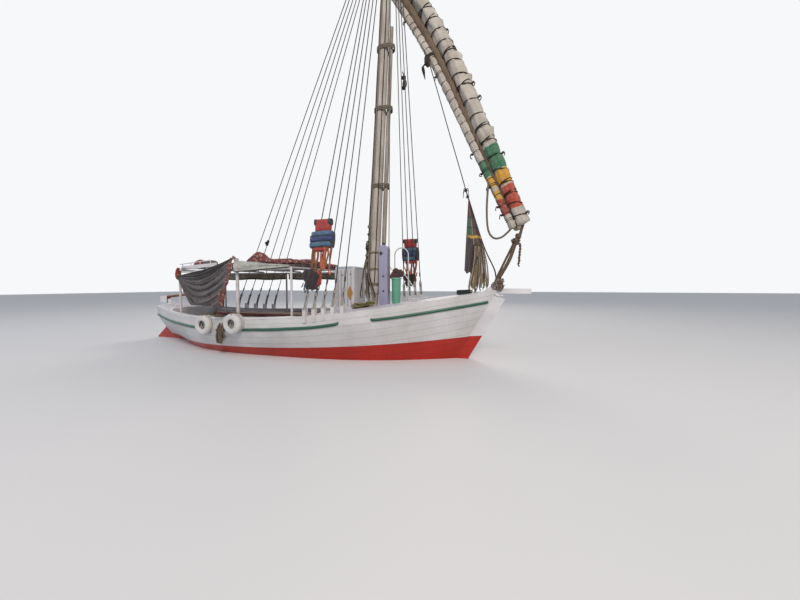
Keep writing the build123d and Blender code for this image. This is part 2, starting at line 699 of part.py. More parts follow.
def run():
    outer = hull_form()
    inner = hull_form(PLANK, REACH / 20)
    red = below_boot_top()
    mast_pole = mast()
    post = mast_post() - mast_pole
    strakes = [strake_strip(side) for side in SIDES]
    wide = REACH / 4

    cockpit_box = box_between((COCKPIT_AFT_X, -wide, SOLE_Z - SOLE_PLANK), (COCKPIT_FORE_X, wide, wide))
    cockpit = inner & cockpit_box
    sole_box = box_between((-REACH, -wide, 0), (REACH, wide, SOLE_Z))
    open_hull = outer - cockpit
    deck_core = (outer & inner) - Pos(0, 0, -DECK_PLANK) * outer - mast_pole - post
    fore = box_between((COCKPIT_FORE_X, -wide, 0), (REACH, wide, wide))
    aft = box_between((-REACH, -wide, 0), (COCKPIT_AFT_X, wide, wide))
    foredeck = deck_core & fore
    stern_deck = deck_core & aft
    topsides = open_hull - red - mast_pole - post - foredeck - stern_deck

    timber = backbone() - outer
    keel = timber & red
    upper = timber - red
    stem = biggest(upper & fore)
    sternpost = biggest(upper & aft)

    save("hull_bottom", open_hull & red)
    save("hull_topsides", topsides)
    save("foredeck", foredeck)
    save("stern_deck", stern_deck)
    save("cockpit_sole", cockpit & sole_box)
    save("keel", keel)
    save("stem", stem)
    save("sternpost", sternpost)
    save("rubbing_strakes", *[strake - outer for strake in strakes])
    save("bow_beam", bow_beam(stem + outer))

    benches = []
    cushions = []
    eased = hull_form(PLANK + CUSHION_EASE, REACH / 20)
    all_posts = [post for side in SIDES for post in awning_posts(side)]
    for side in SIDES:
        inward = sorted((side * BENCH_INNER_Y, side * wide))
        bench_box = box_between((COCKPIT_AFT_X, inward[0], SOLE_Z), (BENCH_FORE_X, inward[1], BENCH_Z))
        benches.append(inner & bench_box)
        low = BENCH_Z + CLEAR
        inward = sorted((side * (BENCH_INNER_Y + CUSHION_EASE), side * wide))
        pad_box = box_between(
            (COCKPIT_AFT_X + CUSHION_EASE, inward[0], low), (BENCH_FORE_X, inward[1], low + CUSHION_THICK)
        )
        cushion = eased & pad_box
        for x, y, top_z, radius in posts_on(side):
            cushion = cushion - rod((x, y, 0), (x, y, top_z), radius + 4)
        cushions.append(biggest(cushion))
    save("side_benches", *benches)
    save("bench_cushions", *cushions)

    save("mast", mast_pole)
    save("mast_post", post)
    save("spare_poles", *spare_poles(mast_pole + post + outer))
    collar = masthead_collar(mast_pole)
    save("masthead_collar", collar)
    hull_side = outer + strakes[0] + strakes[1]
    stays = {}
    for name, (side, plate_xs, bearings) in STAY_SETS.items():
        stays[name] = stay_set(side, plate_xs, bearings, collar, hull_side)
        save(name, *stays[name])

    spar = along_yard(2)
    sling = biggest(yard_sling() - spar)
    save("yard_spar", spar)
    save("yard_sling", sling)
    save("sail_roll_fore", biggest(along_yard(3, 3, 1) - sling - spar))
    save("sail_roll_aft", biggest(along_yard(4, 4, -1) - sling - spar))
    save("rudder_blade", biggest(rudder() - tiller()))
    save("tiller", tiller())
    save("rudder_gudgeons", *gudgeons(sternpost + keel))

    names = {-1: "starboard", 1: "port"}
    rails = []
    for side in SIDES:
        posts = awning_posts(side)
        side_rails = awning_rails(side, posts)
        rails += side_rails
        save(f"awning_posts_{names[side]}", *posts)
        save(f"awning_rail_{names[side]}", *side_rails)
    carriers = rails[0]
    for piece in rails[1:] + all_posts:
        carriers = carriers + piece
    beams = awning_beams(carriers)
    save("awning_beams", *beams)
    frame = Compound(beams + rails + all_posts)
    save("awning_roof", awning_roof())
    save("awning_curtain", seated(awning_curtain(), frame, 1))
    save("awning_gusset", seated(awning_gusset(), frame, 1))
    save("awning_valance", *awning_valance())
    save("roof_bundles", *roof_bundles())

    save("galley_cabinet", galley_cabinet(outer))
    save("deck_bin", deck_bin(outer))
    save("deck_hoop", deck_hoop(outer))
    save("deck_coil", deck_coil(outer))
    save("fenders", *fenders(hull_side, topsides))
    near_jacket = life_jacket((1170, -1200, 2070), -1, 8, -120, (330, 130, 330))
    far_jacket = life_jacket((2150, 1200, 1960), 1, 8, 0, (240, 130, 260))
    save("life_jacket_starboard", seated(near_jacket, Compound(stays["shrouds_starboard"]), 1))
    save("life_jacket_port", seated(far_jacket, Compound(stays["shrouds_port"]), -1))
    save("flag", flag(stem))


run()
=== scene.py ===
# River felucca: the finish of each surface, the ropes, the furled sail and the cloths
# Metres. The bow is along +X, port is +Y, and the water lies at z = 0
import bmesh
import bpy
import math
import random
from mathutils import Vector, Matrix, noise
from mathutils.bvhtree import BVHTree


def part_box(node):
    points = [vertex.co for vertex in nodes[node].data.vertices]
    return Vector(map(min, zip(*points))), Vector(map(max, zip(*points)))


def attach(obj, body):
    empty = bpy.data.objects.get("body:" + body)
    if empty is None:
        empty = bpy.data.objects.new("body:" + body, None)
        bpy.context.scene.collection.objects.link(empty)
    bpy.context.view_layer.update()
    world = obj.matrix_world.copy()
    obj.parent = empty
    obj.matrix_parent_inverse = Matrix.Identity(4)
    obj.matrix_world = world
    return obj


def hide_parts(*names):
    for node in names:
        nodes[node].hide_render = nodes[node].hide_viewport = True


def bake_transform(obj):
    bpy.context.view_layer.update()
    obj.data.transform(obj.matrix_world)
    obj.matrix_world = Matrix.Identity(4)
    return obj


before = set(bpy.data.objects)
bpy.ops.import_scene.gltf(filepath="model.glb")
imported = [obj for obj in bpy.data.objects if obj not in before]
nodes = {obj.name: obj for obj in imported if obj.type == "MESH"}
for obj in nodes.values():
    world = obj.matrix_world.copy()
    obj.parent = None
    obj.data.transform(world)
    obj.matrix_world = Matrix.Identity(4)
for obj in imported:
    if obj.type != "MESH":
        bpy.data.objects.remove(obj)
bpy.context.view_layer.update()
scene = bpy.context.scene
fullTurn = 2 * math.pi
upward = Vector((0, 0, 1))


# Small tools

def hexColour(code):
    channels = [int(code[i:i + 2], 16) / 255 for i in (1, 3, 5)]
    linear = [c / 12.92 if c <= 0.04045 else ((c + 0.055) / 1.055) ** 2.4 for c in channels]
    return (*linear, 1.0)


def addNode(tree, kind, values=None, out=0):
    # A socket among the values is linked, a hex code becomes a colour, and stops fill a ramp
    node = tree.nodes.new(kind if kind.startswith(("Geometry", "Node")) else "ShaderNode" + kind)
    for key, value in (values or {}).items():
        if isinstance(value, str) and value.startswith("#"):
            value = hexColour(value)
        if key == "stops":
            marks = node.color_ramp.elements
            while len(marks) < len(value):
                marks.new(0.5)
            for mark, (place, shade) in zip(marks, value):
                mark.position = place
                mark.color = hexColour(shade) if isinstance(shade, str) else (shade, shade, shade, 1)
        elif isinstance(value, bpy.types.NodeSocket):
            tree.links.new(value, node.inputs[key])
        elif isinstance(key, str) and hasattr(node, key):
            setattr(node, key, value)
        else:
            node.inputs[key].default_value = value
    return node.outputs[out] if node.outputs else node


def surfacePlace(tree, stretch=(1, 1, 1), source="Object"):
    return addNode(tree, "Mapping", {"Scale": stretch, "Vector": addNode(tree, "TexCoord", None, source)})


def grain(tree, size, detail=4.0, rough=0.55, stretch=(1, 1, 1)):
    # Mottling of a real size in metres, drawn out along the axes whose factor is small
    return addNode(tree, "TexNoise", {"Scale": 1 / size, "Detail": detail, "Roughness": rough,
                                      "Vector": surfacePlace(tree, stretch)})


def tint(tree, base, pattern, colour, stops=None):
    # Lays a colour over the base where the pattern is strong
    if stops:
        pattern = addNode(tree, "ValToRGB", {"Fac": pattern, "stops": stops})
    return addNode(tree, "Mix", {"data_type": "RGBA", 0: pattern, 6: base, 7: colour}, 2)


def startMaterial(name):
    material = bpy.data.materials.new(name)
    material.use_nodes = True
    material.node_tree.nodes.clear()
    return material, material.node_tree


def endMaterial(material, values, relief):
    # relief is a pattern, its depth in metres and its strength
    tree = material.node_tree
    height, depth, strength = relief
    values["Normal"] = addNode(tree, "Bump", {"Height": height, "Distance": depth, "Strength": strength})
    addNode(tree, "OutputMaterial", {"Surface": addNode(tree, "BsdfPrincipled", values)})
    return material


def linkObject(name, data):
    thing = bpy.data.objects.new(name, data)
    scene.collection.objects.link(thing)
    return thing


# Meshes

def emptyBag():
    return {"points": [], "faces": [], "slots": [], "uv": []}


def addToBag(bag, points, faces, slot=0, uv=None):
    start = len(bag["points"])
    bag["points"] += [tuple(p) for p in points]
    bag["faces"] += [tuple(start + i for i in face) for face in faces]
    bag["slots"] += [slot] * len(faces)
    bag["uv"] += uv if uv else [(0.0, 0.0)] * len(points)


def gridFaces(rows, columns, wrap):
    faces = []
    for r in range(rows - 1):
        for c in range(columns if wrap else columns - 1):
            d = (c + 1) % columns
            faces.append((r * columns + c, r * columns + d, (r + 1) * columns + d, (r + 1) * columns + c))
    return faces


def shellFaces(rows, columns):
    # Front and back of a grid, closed round their rim
    count = rows * columns
    front = gridFaces(rows, columns, False)
    faces = front + [tuple(count + i for i in reversed(face)) for face in front]
    rim = list(range(columns)) + [r * columns + columns - 1 for r in range(1, rows)]
    rim += [(rows - 1) * columns + c for c in range(columns - 2, -1, -1)]
    rim += [r * columns for r in range(rows - 2, 0, -1)]
    return faces + [(b, a, count + a, count + b) for a, b in zip(rim, rim[1:] + rim[:1])]


def barFaces(rows, columns):
    # A closed bar of rows of corners, with a flat face at both ends
    last = (rows - 1) * columns
    return gridFaces(rows, columns, True) + [tuple(reversed(range(columns))), tuple(range(last, last + columns))]


def smoothPath(points, steps):
    # A smooth line through given points, the same number of steps on each run
    points = [Vector(p) for p in points]
    ends = [points[0] * 2 - points[1]] + points + [points[-1] * 2 - points[-2]]
    path = []
    for i in range(1, len(ends) - 2):
        a, b, c, d = ends[i - 1:i + 3]
        for k in range(steps):
            t = k / steps
            path.append(0.5 * (2 * b + (c - a) * t + (2 * a - 5 * b + 4 * c - d) * t * t
                               + (3 * b - a - 3 * c + d) * t ** 3))
    path.append(points[-1])
    return path


def pathFrames(path):
    # Centre, way along, side, up and length so far at each point
    side = Vector((0, 1, 0))
    frames = []
    run = 0.0
    for i, point in enumerate(path):
        run += (point - path[i - 1]).length if i else 0.0
        along = (path[min(i + 1, len(path) - 1)] - path[max(i - 1, 0)]).normalized()
        across = side - along * side.dot(along)
        if across.length < 0.05:
            across = Vector((1, 0, 0)) - along * along.x
        side = across.normalized()
        frames.append((point, along, side, along.cross(side), run))
    return frames


def tubeInto(bag, path, radius, sides=8, slot=0):
    # A closed tube along a path. radius is a number or a function of the share of the way along
    points, uv = [], []
    frames = pathFrames([Vector(p) for p in path])
    for i, (centre, _, side, up, run) in enumerate(frames):
        r = radius(i / (len(frames) - 1)) if callable(radius) else radius
        for k in range(sides):
            angle = fullTurn * k / sides
            points.append(centre + (side * math.cos(angle) + up * math.sin(angle)) * r)
            uv.append((k / sides, run))
    addToBag(bag, points, barFaces(len(frames), sides), slot, uv)


def ropeRun(bag, points, radius, steps=8, sides=7, slot=0):
    tubeInto(bag, smoothPath(points, steps), radius, sides, slot)


def makePiece(name, bag, materials, body, smooth=True, replaces=None):
    mesh = bpy.data.meshes.new(name)
    mesh.from_pydata(bag["points"], [], bag["faces"])
    for material in materials:
        mesh.materials.append(material)
    mesh.polygons.foreach_set("material_index", bag["slots"])
    mesh.polygons.foreach_set("use_smooth", [smooth] * len(bag["faces"]))
    layer = mesh.uv_layers.new(name="Along")
    for loop in mesh.loops:
        layer.data[loop.index].uv = bag["uv"][loop.vertex_index]
    mesh.update()
    faceOut(mesh)
    piece = linkObject(name, mesh)
    if body:
        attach(piece, body)
    if replaces:
        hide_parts(replaces)
    return piece


def faceOut(mesh):
    # Faces wound the wrong way are turned, so that all of the piece faces outward
    shape = bmesh.new()
    shape.from_mesh(mesh)
    bmesh.ops.recalc_face_normals(shape, faces=shape.faces)
    shape.to_mesh(mesh)
    shape.free()


# Camera, light and floor

viewer = {
    "place": (3.87, -5.30, 1.25),   # where the photo was taken, 1.25 m above the water
    "heading": 17.76,               # degrees to port of square across the boat
    "pitch": -2.72,
    "lens": 13.73,                  # a phone's ultra-wide lens on a 36 mm sensor
}

studio = {
    "sky": "#e6ebf4", "skyLight": 0.40, "floor": "#d3d6da", "floorHalf": 60, "backdrop": "#f7f8fa",
    "lamps": {    # place, height of the point that it faces, width, power and colour
        "keyLamp": ((9, -13, 12), 3, 6, 2300, "#fff1e4"),
        "fillLamp": ((-12, -10, 9), 3, 10, 420, "#e6edff"),
        "backLamp": ((-2, 13, 11), 4, 9, 800, "#ffeede"),
    },
}


def addCamera():
    data = bpy.data.cameras.new("photoCamera")
    data.sensor_width = 36.0
    data.lens = viewer["lens"]
    data.clip_end = 200
    scene.camera = linkObject("photoCamera", data)
    scene.camera.location = viewer["place"]
    scene.camera.rotation_euler = (math.radians(90 + viewer["pitch"]), 0, math.radians(viewer["heading"]))


def addStudio():
    scene.world = bpy.data.worlds.new("paleRoom")
    scene.world.use_nodes = True
    tree = scene.world.node_tree
    tree.nodes.clear()
    light = addNode(tree, "Background", {"Color": studio["sky"], "Strength": studio["skyLight"]})
    seen = addNode(tree, "Background", {"Color": studio["backdrop"], "Strength": 1.0})
    direct = addNode(tree, "Math", {"operation": "MAXIMUM", 0: addNode(tree, "LightPath", None, "Is Camera Ray"),
                                    1: addNode(tree, "LightPath", None, "Is Glossy Ray")})
    addNode(tree, "OutputWorld", {"Surface": addNode(tree, "MixShader", {0: direct, 1: light, 2: seen})})
    scene.view_settings.view_transform = "Standard"
    for name, (place, height, size, power, colour) in studio["lamps"].items():
        data = bpy.data.lights.new(name, "AREA")
        data.shape = "DISK"
        data.size = size
        data.energy = power
        data.color = hexColour(colour)[:3]
        lamp = linkObject(name, data)
        lamp.location = place
        lamp.rotation_euler = (Vector((0, 0, height)) - Vector(place)).to_track_quat("-Z", "Y").to_euler()
    half = studio["floorHalf"]
    floor = emptyBag()
    addToBag(floor, [(-half, -half, 0), (half, -half, 0), (half, half, 0), (-half, half, 0)], [(0, 1, 2, 3)])
    material, tree = startMaterial("paleFloor")
    shader = addNode(tree, "BsdfPrincipled", {"Base Color": studio["floor"], "Roughness": 0.6})
    addNode(tree, "OutputMaterial", {"Surface": shader})
    makePiece("waterFloor", floor, [material], None, smooth=False)


addCamera()
addStudio()
print("camera and light")


# Paint and timber

planks = {"width": 0.115, "seam": 0.10, "rise": 0.02345, "turnX": -0.9}


def plankSeams(tree):
    # 1 on the seam between two planks, whose lines rise to the bow and stern as the strake does
    value = addNode(tree, "SeparateXYZ", {0: surfacePlace(tree)})
    level = addNode(tree, "SeparateXYZ", {0: surfacePlace(tree)}, 2)
    for kind, number in (("SUBTRACT", planks["turnX"]), ("ABSOLUTE", 0), ("POWER", 2), ("MULTIPLY", planks["rise"])):
        value = addNode(tree, "Math", {"operation": kind, 0: value, 1: number})
    value = addNode(tree, "Math", {"operation": "SUBTRACT", 0: level, 1: value})
    value = addNode(tree, "Math", {"operation": "DIVIDE", 0: value, 1: planks["width"]})
    value = addNode(tree, "Math", {"operation": "FRACT", 0: value})
    value = addNode(tree, "Math", {"operation": "COMPARE", 0: value, 1: 0.5, 2: 0.5 - planks["seam"] / 2})
    return addNode(tree, "Math", {"operation": "SUBTRACT", 0: 1.0, 1: value})


def oilPaint(name, paint, under, dirt, wear=0.5, gloss=0.42, sheer=False, low=None):
    # Alkyd oil paint brushed on planks: soft sheen, brush drag along the plank, grime near the seams.
    # low is a level and the paint below it
    material, tree = startMaterial(name)
    drag = grain(tree, 0.02, 3, stretch=(0.06, 1, 1))      # brush marks about 20 mm apart
    cloud = grain(tree, 0.55, 5)
    colour = tint(tree, paint, cloud, dirt, [(0.3, 0.0), (0.75, 0.55)])
    if low:
        height = addNode(tree, "SeparateXYZ", {0: surfacePlace(tree)}, 2)
        colour = tint(tree, colour, addNode(tree, "Math", {"operation": "LESS_THAN", 0: height, 1: low[0]}), low[1])
    colour = tint(tree, colour, drag, dirt, [(0.35, 0.0), (0.8, 0.22)])
    worn = tint(tree, grain(tree, 0.035, 6, 0.7), 0.5, cloud)
    colour = tint(tree, colour, worn, under, [(0.64 - wear * 0.12, 0.0), (0.70 - wear * 0.08, 1.0)])
    relief = tint(tree, drag, 0.25, grain(tree, 0.12, 2, stretch=(0.25, 1, 1)))
    if sheer:
        seam = plankSeams(tree)
        colour = tint(tree, colour, seam, dirt, [(0.0, 0.0), (1.0, 0.42)])
        relief = tint(tree, relief, seam, "#000000", [(0.0, 0.0), (1.0, 0.85)])
    rough = addNode(tree, "ValToRGB", {"Fac": cloud, "stops": [(0.2, gloss - 0.08), (0.9, gloss + 0.2)]})
    return endMaterial(material, {"Base Color": colour, "Roughness": rough, "IOR": 1.5}, (relief, 0.0035, 0.55))


def oldTimber(name, pale, dark, size, wear=0.4):
    # Weathered softwood pole: the grain runs up the pole, with dark drying cracks along it
    material, tree = startMaterial(name)
    fibre = grain(tree, size, 4, 0.6, (1, 1, 0.04))
    crack = addNode(tree, "ValToRGB", {"Fac": grain(tree, size * 4, 2, stretch=(1, 1, 0.03)),
                                       "stops": [(0.30, 1.0), (0.36, 0.0)]})
    colour = tint(tree, pale, fibre, dark, [(0.3, 0.0), (0.75, 1.0)])
    colour = tint(tree, colour, grain(tree, 0.22, 4, stretch=(1, 1, 0.35)), dark,
                  [(0.55 - wear * 0.2, 0.0), (0.8, 0.7)])
    colour = tint(tree, colour, crack, "#302c26")
    return endMaterial(material, {"Base Color": colour, "Roughness": 0.72, "IOR": 1.45},
                       (tint(tree, fibre, crack, "#000000"), 0.004, 0.7))


def paintedMetal(name, paint, rust, gloss=0.4):
    # Enamelled iron: smooth enamel with small rust blooms where it has chipped
    material, tree = startMaterial(name)
    bloom = addNode(tree, "ValToRGB", {"Fac": grain(tree, 0.05, 6, 0.7), "stops": [(0.66, 0.0), (0.74, 0.85)]})
    colour = tint(tree, paint, grain(tree, 0.3, 3), rust, [(0.3, 0.0), (0.8, 0.35)])
    rough = addNode(tree, "ValToRGB", {"Fac": bloom, "stops": [(0.0, gloss), (1.0, 0.85)]})
    return endMaterial(material, {"Base Color": tint(tree, colour, bloom, rust), "Roughness": rough},
                       (bloom, 0.001, 0.5))


topsidePaint = oilPaint("topsideOilPaint", "#d2d3d6", "#8f8c85", "#9a9a98", 0.1, 0.34, True)
trimPaint = oilPaint("trimOilPaint", "#d9dade", "#8d867c", "#a7a6ad", 0.35, 0.4)
bottomPaint = oilPaint("bottomRedLead", "#b3200f", "#5d1510", "#7d1408", 0.15, 0.3, True)
strakePaint = oilPaint("strakeGreenPaint", "#1d5a45", "#20302a", "#173c30", 0.4, 0.35)
deckPaint = oilPaint("deckPalePaint", "#cfcfdc", "#8b8578", "#a9a3a6", 0.1, 0.5)
solePaint = oilPaint("solePalePaint", "#bdbdc6", "#8b8578", "#8f8a8a", 0.2, 0.5)
postPaint = oilPaint("postLavenderPaint", "#9d9dbb", "#77737f", "#86879c")
cabinetPaint = oilPaint("cabinetPaint", "#cfd0d6", "#8a8a8c", "#a4a4a6", 0.45)
capPaint = oilPaint("cabinetCapBluePaint", "#b4c0cc", "#8a8a8c", "#93999f", 0.4, 0.4)
rudderPaint = oilPaint("rudderOilPaint", "#d9dade", "#8d867c", "#a7a6ad", 0.35, 0.4, low=(0.40, "#a32413"))
mastTimber = oldTimber("mastOldPaint", "#c6c3be", "#7f7a73", 0.012, 0.5)
sparTimber = oldTimber("yardBrownTimber", "#766654", "#3f352a", 0.012, 0.3)
heelTimber = oldTimber("heelButtTimber", "#b3a794", "#6f6454", 0.012, 0.3)
poleTimber = oldTimber("poleGreyTimber", "#aaa399", "#5b544c", 0.010)
tillerTimber = oldTimber("tillerRedTimber", "#8e4a33", "#57291d", 0.008, 0.3)
blackIron = paintedMetal("blackIron", "#1c1b1c", "#4a2c20", 0.5)
whiteIron = paintedMetal("whiteIron", "#cdced2", "#7a5a45", 0.38)
wireSteel = paintedMetal("tarredWire", "#2c2728", "#4e3a30", 0.55)
binPlastic = paintedMetal("binPlastic", "#5a9e84", "#3f6f60", 0.45)
# The rim's paler green is a painted highlight, not a different plastic
rimHighlightPlastic = paintedMetal("binRimPaintedHighlight", "#86c0a6", "#5d9482")
fenderPaint = paintedMetal("fenderWhitePaint", "#d0d0d0", "#6b6a68", 0.5)
plateOchre = paintedMetal("lozengeOchrePaint", "#b0843f", "#6c4f33", 0.5)
seamDark = paintedMetal("cabinetSeamDark", "#565457", "#3a3331", 0.7)


def laidRope(name, pale, dark, strand):
    # Laid fibre rope: slanting strands seen as a bump, darker between the strands and paler on their crowns
    material, tree = startMaterial(name)
    around, along = (addNode(tree, "SeparateXYZ", {0: surfacePlace(tree, source="UV")}, axis) for axis in (0, 1))
    slant = addNode(tree, "Math", {"operation": "MULTIPLY", 0: around, 1: 3.0})
    turn = addNode(tree, "Math", {"operation": "MULTIPLY_ADD", 0: along, 1: 1 / strand, 2: slant})
    wave = addNode(tree, "Math", {"operation": "PINGPONG", 0: turn, 1: 0.5})
    height = addNode(tree, "Math", {"operation": "MULTIPLY", 0: wave, 1: 2.0})
    colour = tint(tree, tint(tree, dark, height, pale), grain(tree, 0.02), dark, [(0.4, 0.0), (0.8, 0.5)])
    return endMaterial(material, {"Base Color": colour, "Roughness": 0.9}, (height, 0.004, 0.9))


darkRope = laidRope("darkLaidRope", "#4a4038", "#241d19", 0.03)
greyRope = laidRope("greyLaidRope", "#9a9184", "#4c443b", 0.045)
paleRope = laidRope("paleLaidRope", "#b6a98d", "#6c5d47", 0.03)
tackleRope = laidRope("brownTackleRope", "#7d6a58", "#33291f", 0.05)
whiteLine = laidRope("whiteNylonLine", "#c9c8c4", "#8b8782", 0.02)
greenRope = laidRope("darkGreenRope", "#3d4f49", "#1d2825", 0.035)
oliveRope = laidRope("yellowGreenRope", "#8d8b50", "#4c4c2b", 0.03)

solidFinishes = {
    topsidePaint: ["hull_topsides"], strakePaint: ["rubbing_strakes"], solePaint: ["cockpit_sole"],
    postPaint: ["mast_post"], cabinetPaint: ["galley_cabinet"], rudderPaint: ["rudder_blade"],
    bottomPaint: ["hull_bottom", "keel"], deckPaint: ["foredeck", "stern_deck"],
    trimPaint: ["stem", "sternpost", "bow_beam", "side_benches"], mastTimber: ["mast"], sparTimber: ["yard_spar"],
    poleTimber: ["spare_poles"], tillerTimber: ["tiller"], binPlastic: ["deck_bin"], fenderPaint: ["fenders"],
    blackIron: ["masthead_collar", "rudder_gudgeons"], wireSteel: ["shrouds_starboard", "shrouds_port", "backstays"],
    greyRope: ["yard_sling"],
    whiteIron: ["awning_posts_port", "awning_posts_starboard", "awning_rail_port", "awning_rail_starboard",
                "awning_beams", "deck_hoop"],
}
for finish, names in solidFinishes.items():
    for name in names:
        nodes[name].data.materials.clear()
        nodes[name].data.materials.append(finish)
print("paint and timber")


# Sail furled along the yard

yardLine = {
    # Centre of the spar from the heel to the peak, then the radii of spar, fore roll and aft roll
    "rows": [
        (4.150, 2.205, 0.052, 0.105, 0.062),
        (3.468, 3.800, 0.070, 0.132, 0.068),
        (2.769, 5.400, 0.084, 0.142, 0.068),
        (1.940, 6.920, 0.088, 0.145, 0.066),
        (0.742, 8.837, 0.078, 0.125, 0.060),
        (-0.610, 10.698, 0.060, 0.095, 0.048),
        (-2.024, 12.383, 0.038, 0.055, 0.032),
    ],
    "heelY": 0.05,
    "slingY": 0.45,
    "steps": 80,
    "near": 0.026,      # how far the rolls lie to starboard of the spar's middle
    "press": 0.72,      # share of its radius that each roll keeps where it is pressed to the spar
}


def yardPath():
    rows = yardLine["rows"]
    heelZ, slingZ = rows[0][1], rows[3][1]
    beam = yardLine["slingY"] - yardLine["heelY"]
    return smoothPath([(row[0], yardLine["heelY"] + (row[1] - heelZ) / (slingZ - heelZ) * beam, row[1])
                       for row in rows], yardLine["steps"])


def yardRadius(column, share):
    rows = yardLine["rows"]
    place = max(0.0, min(share, 0.99999)) * (len(rows) - 1)
    low = int(place)
    return rows[low][column] + (place - low) * (rows[low + 1][column] - rows[low][column])


# bands are patches of dyed cloth sewn near the heel: start and end in metres up the roll, and their dye.
# tips are corners of cloth that have worked out from under the turns
sailRolls = {
    "fore": {"column": 3, "side": 1, "turns": 0.235, "slant": 0.42, "seed": 3, "columns": 44,
             "tips": (1.70, 2.75, 3.15, 3.95, 4.85, 6.6, 8.3),
             "bands": [(0.27, 0.66, "#b34632"), (0.70, 0.96, "#cf9a2a"), (0.97, 1.40, "#2b6f4f")]},
    "aft": {"column": 4, "side": -1, "turns": 0.175, "slant": 0.18, "seed": 8, "columns": 32, "tips": (),
            "bands": [(0.22, 0.52, "#97392f"), (0.52, 0.66, "#c99a3a"), (0.74, 0.94, "#cf9a2a"),
                      (0.95, 1.25, "#2b6f4f")]},
}


def rollLine(roll):
    # Centre line and radius of one roll of furled canvas, with the way that it lies off the spar
    frames = pathFrames(yardPath())
    rows = []
    for i, (centre, along, _, _, run) in enumerate(frames):
        share = i / (len(frames) - 1)
        off = Vector((-along.z, 0, along.x)).normalized()
        off = off if off.x > 0 else -off
        radius = yardRadius(roll["column"], share)
        low = max(0.0, 1 - share / 0.55)
        reach = yardRadius(2, share) + radius * yardLine["press"] - 0.030 * low
        rows.append({"centre": centre + off * reach * roll["side"] - Vector((0, yardLine["near"] * (1 + low), 0)),
                     "along": along, "off": off, "beam": along.cross(off).normalized(), "radius": radius,
                     "run": run})
    return rows


def turnPlaces(roll, total):
    picker = random.Random(roll["seed"])
    places = []
    run = 0.12
    while run < total - 0.15:
        places.append((run, picker.uniform(-1, 1), picker.uniform(0.75, 1.25)))
        run += roll["turns"] * picker.uniform(0.72, 1.3)
    return places


def rollRadius(roll, row, angle, near, seed):
    run = row["run"]
    pinch = math.exp(-((near[0] - run) / 0.045) ** 2) * 0.13
    belly = 0.05 * noise.noise((run * 2.3, seed, 0.0))
    fold = 0.0
    for waves, size, drift in ((3, 0.065, 0.8), (5, 0.045, 1.7), (9, 0.026, 2.9)):
        fold += size * math.sin(waves * angle + 5 * noise.noise((run * drift, seed + waves, 0.5)))
    wrinkle = 0.05 * noise.noise((run * 9 + 2.5 * math.sin(angle), math.cos(angle) * 2.2 + seed,
                                  math.sin(angle) * 2.2))
    lap = 0.07 * max(0.0, 1 - ((angle + 0.9 + 0.35 * math.sin(run * 1.3 + seed)) % fullTurn) / 1.5)
    radius = row["radius"] * (0.955 + fold + wrinkle + lap + belly - pinch)
    for tip in roll["tips"]:
        radius += 0.055 * math.exp(-abs(run - tip) / 0.06) * max(0.0, math.cos(angle)) ** 14
    return radius


def buildRoll(name, roll, rows, places):
    columns = roll["columns"]
    points, uv = [], []
    for row in rows:
        near = min(places, key=lambda place: abs(place[0] - row["run"]))
        for k in range(columns):
            angle = fullTurn * k / columns
            radius = rollRadius(roll, row, angle, near, roll["seed"] * 13.7)
            points.append(row["centre"] + (row["off"] * math.cos(angle) + row["beam"] * math.sin(angle)) * radius)
            uv.append((k / columns * 0.8, row["run"]))
    first = len(points)
    last = first - columns
    points += [rows[0]["centre"] - rows[0]["along"] * 0.02, rows[-1]["centre"] + rows[-1]["along"] * 0.02]
    uv += [(0.4, 0.0), (0.4, rows[-1]["run"])]
    faces = gridFaces(len(rows), columns, True)
    faces += [(first, (k + 1) % columns, k) for k in range(columns)]
    faces += [(first + 1, last + k, last + (k + 1) % columns) for k in range(columns)]
    bag = emptyBag()
    addToBag(bag, points, faces, 0, uv)
    makePiece(f"sail_{name}_roll", bag, [canvasCloth(name + "RollCanvas", roll["bands"])], "yard",
              replaces="sail_roll_" + name)


def canvasCloth(name, bands):
    # Heavy cotton canvas, washed grey-white: matt, soft creases, 1.2 mm thread drawn at 4 mm so that it shows
    material, tree = startMaterial(name)
    spots = grain(tree, 0.045, 5, 0.65)
    colour = tint(tree, "#c8c4bc", grain(tree, 0.30, 5, 0.6), "#989085", [(0.32, 0.0), (0.72, 0.8)])
    along = addNode(tree, "SeparateXYZ", {0: surfacePlace(tree, source="UV")}, 1)
    wobble = addNode(tree, "Math", {"operation": "MULTIPLY_ADD", 0: grain(tree, 0.16, 2), 1: 0.10, 2: -0.05})
    level = addNode(tree, "Math", {"operation": "ADD", 0: along, 1: wobble})
    for low, high, dye in bands:
        inside = addNode(tree, "Math", {"operation": "COMPARE", 0: level, 1: (low + high) / 2, 2: (high - low) / 2})
        colour = tint(tree, colour, inside, tint(tree, dye, spots, "#b9b2a6", [(0.45, 0.0), (0.8, 0.45)]))
    colour = tint(tree, colour, spots, "#6f665b", [(0.25, 0.35), (0.42, 0.0)])
    weave = addNode(tree, "TexWave", {"Scale": 80.0, "Distortion": 1.2,
                                      "Vector": surfacePlace(tree, source="UV")}, "Fac")
    crease = grain(tree, 0.05, 3, stretch=(1, 1, 0.35))
    return endMaterial(material, {"Base Color": colour, "Roughness": 0.88, "Sheen Weight": 0.15},
                       (tint(tree, weave, 0.8, crease), 0.010, 0.8))


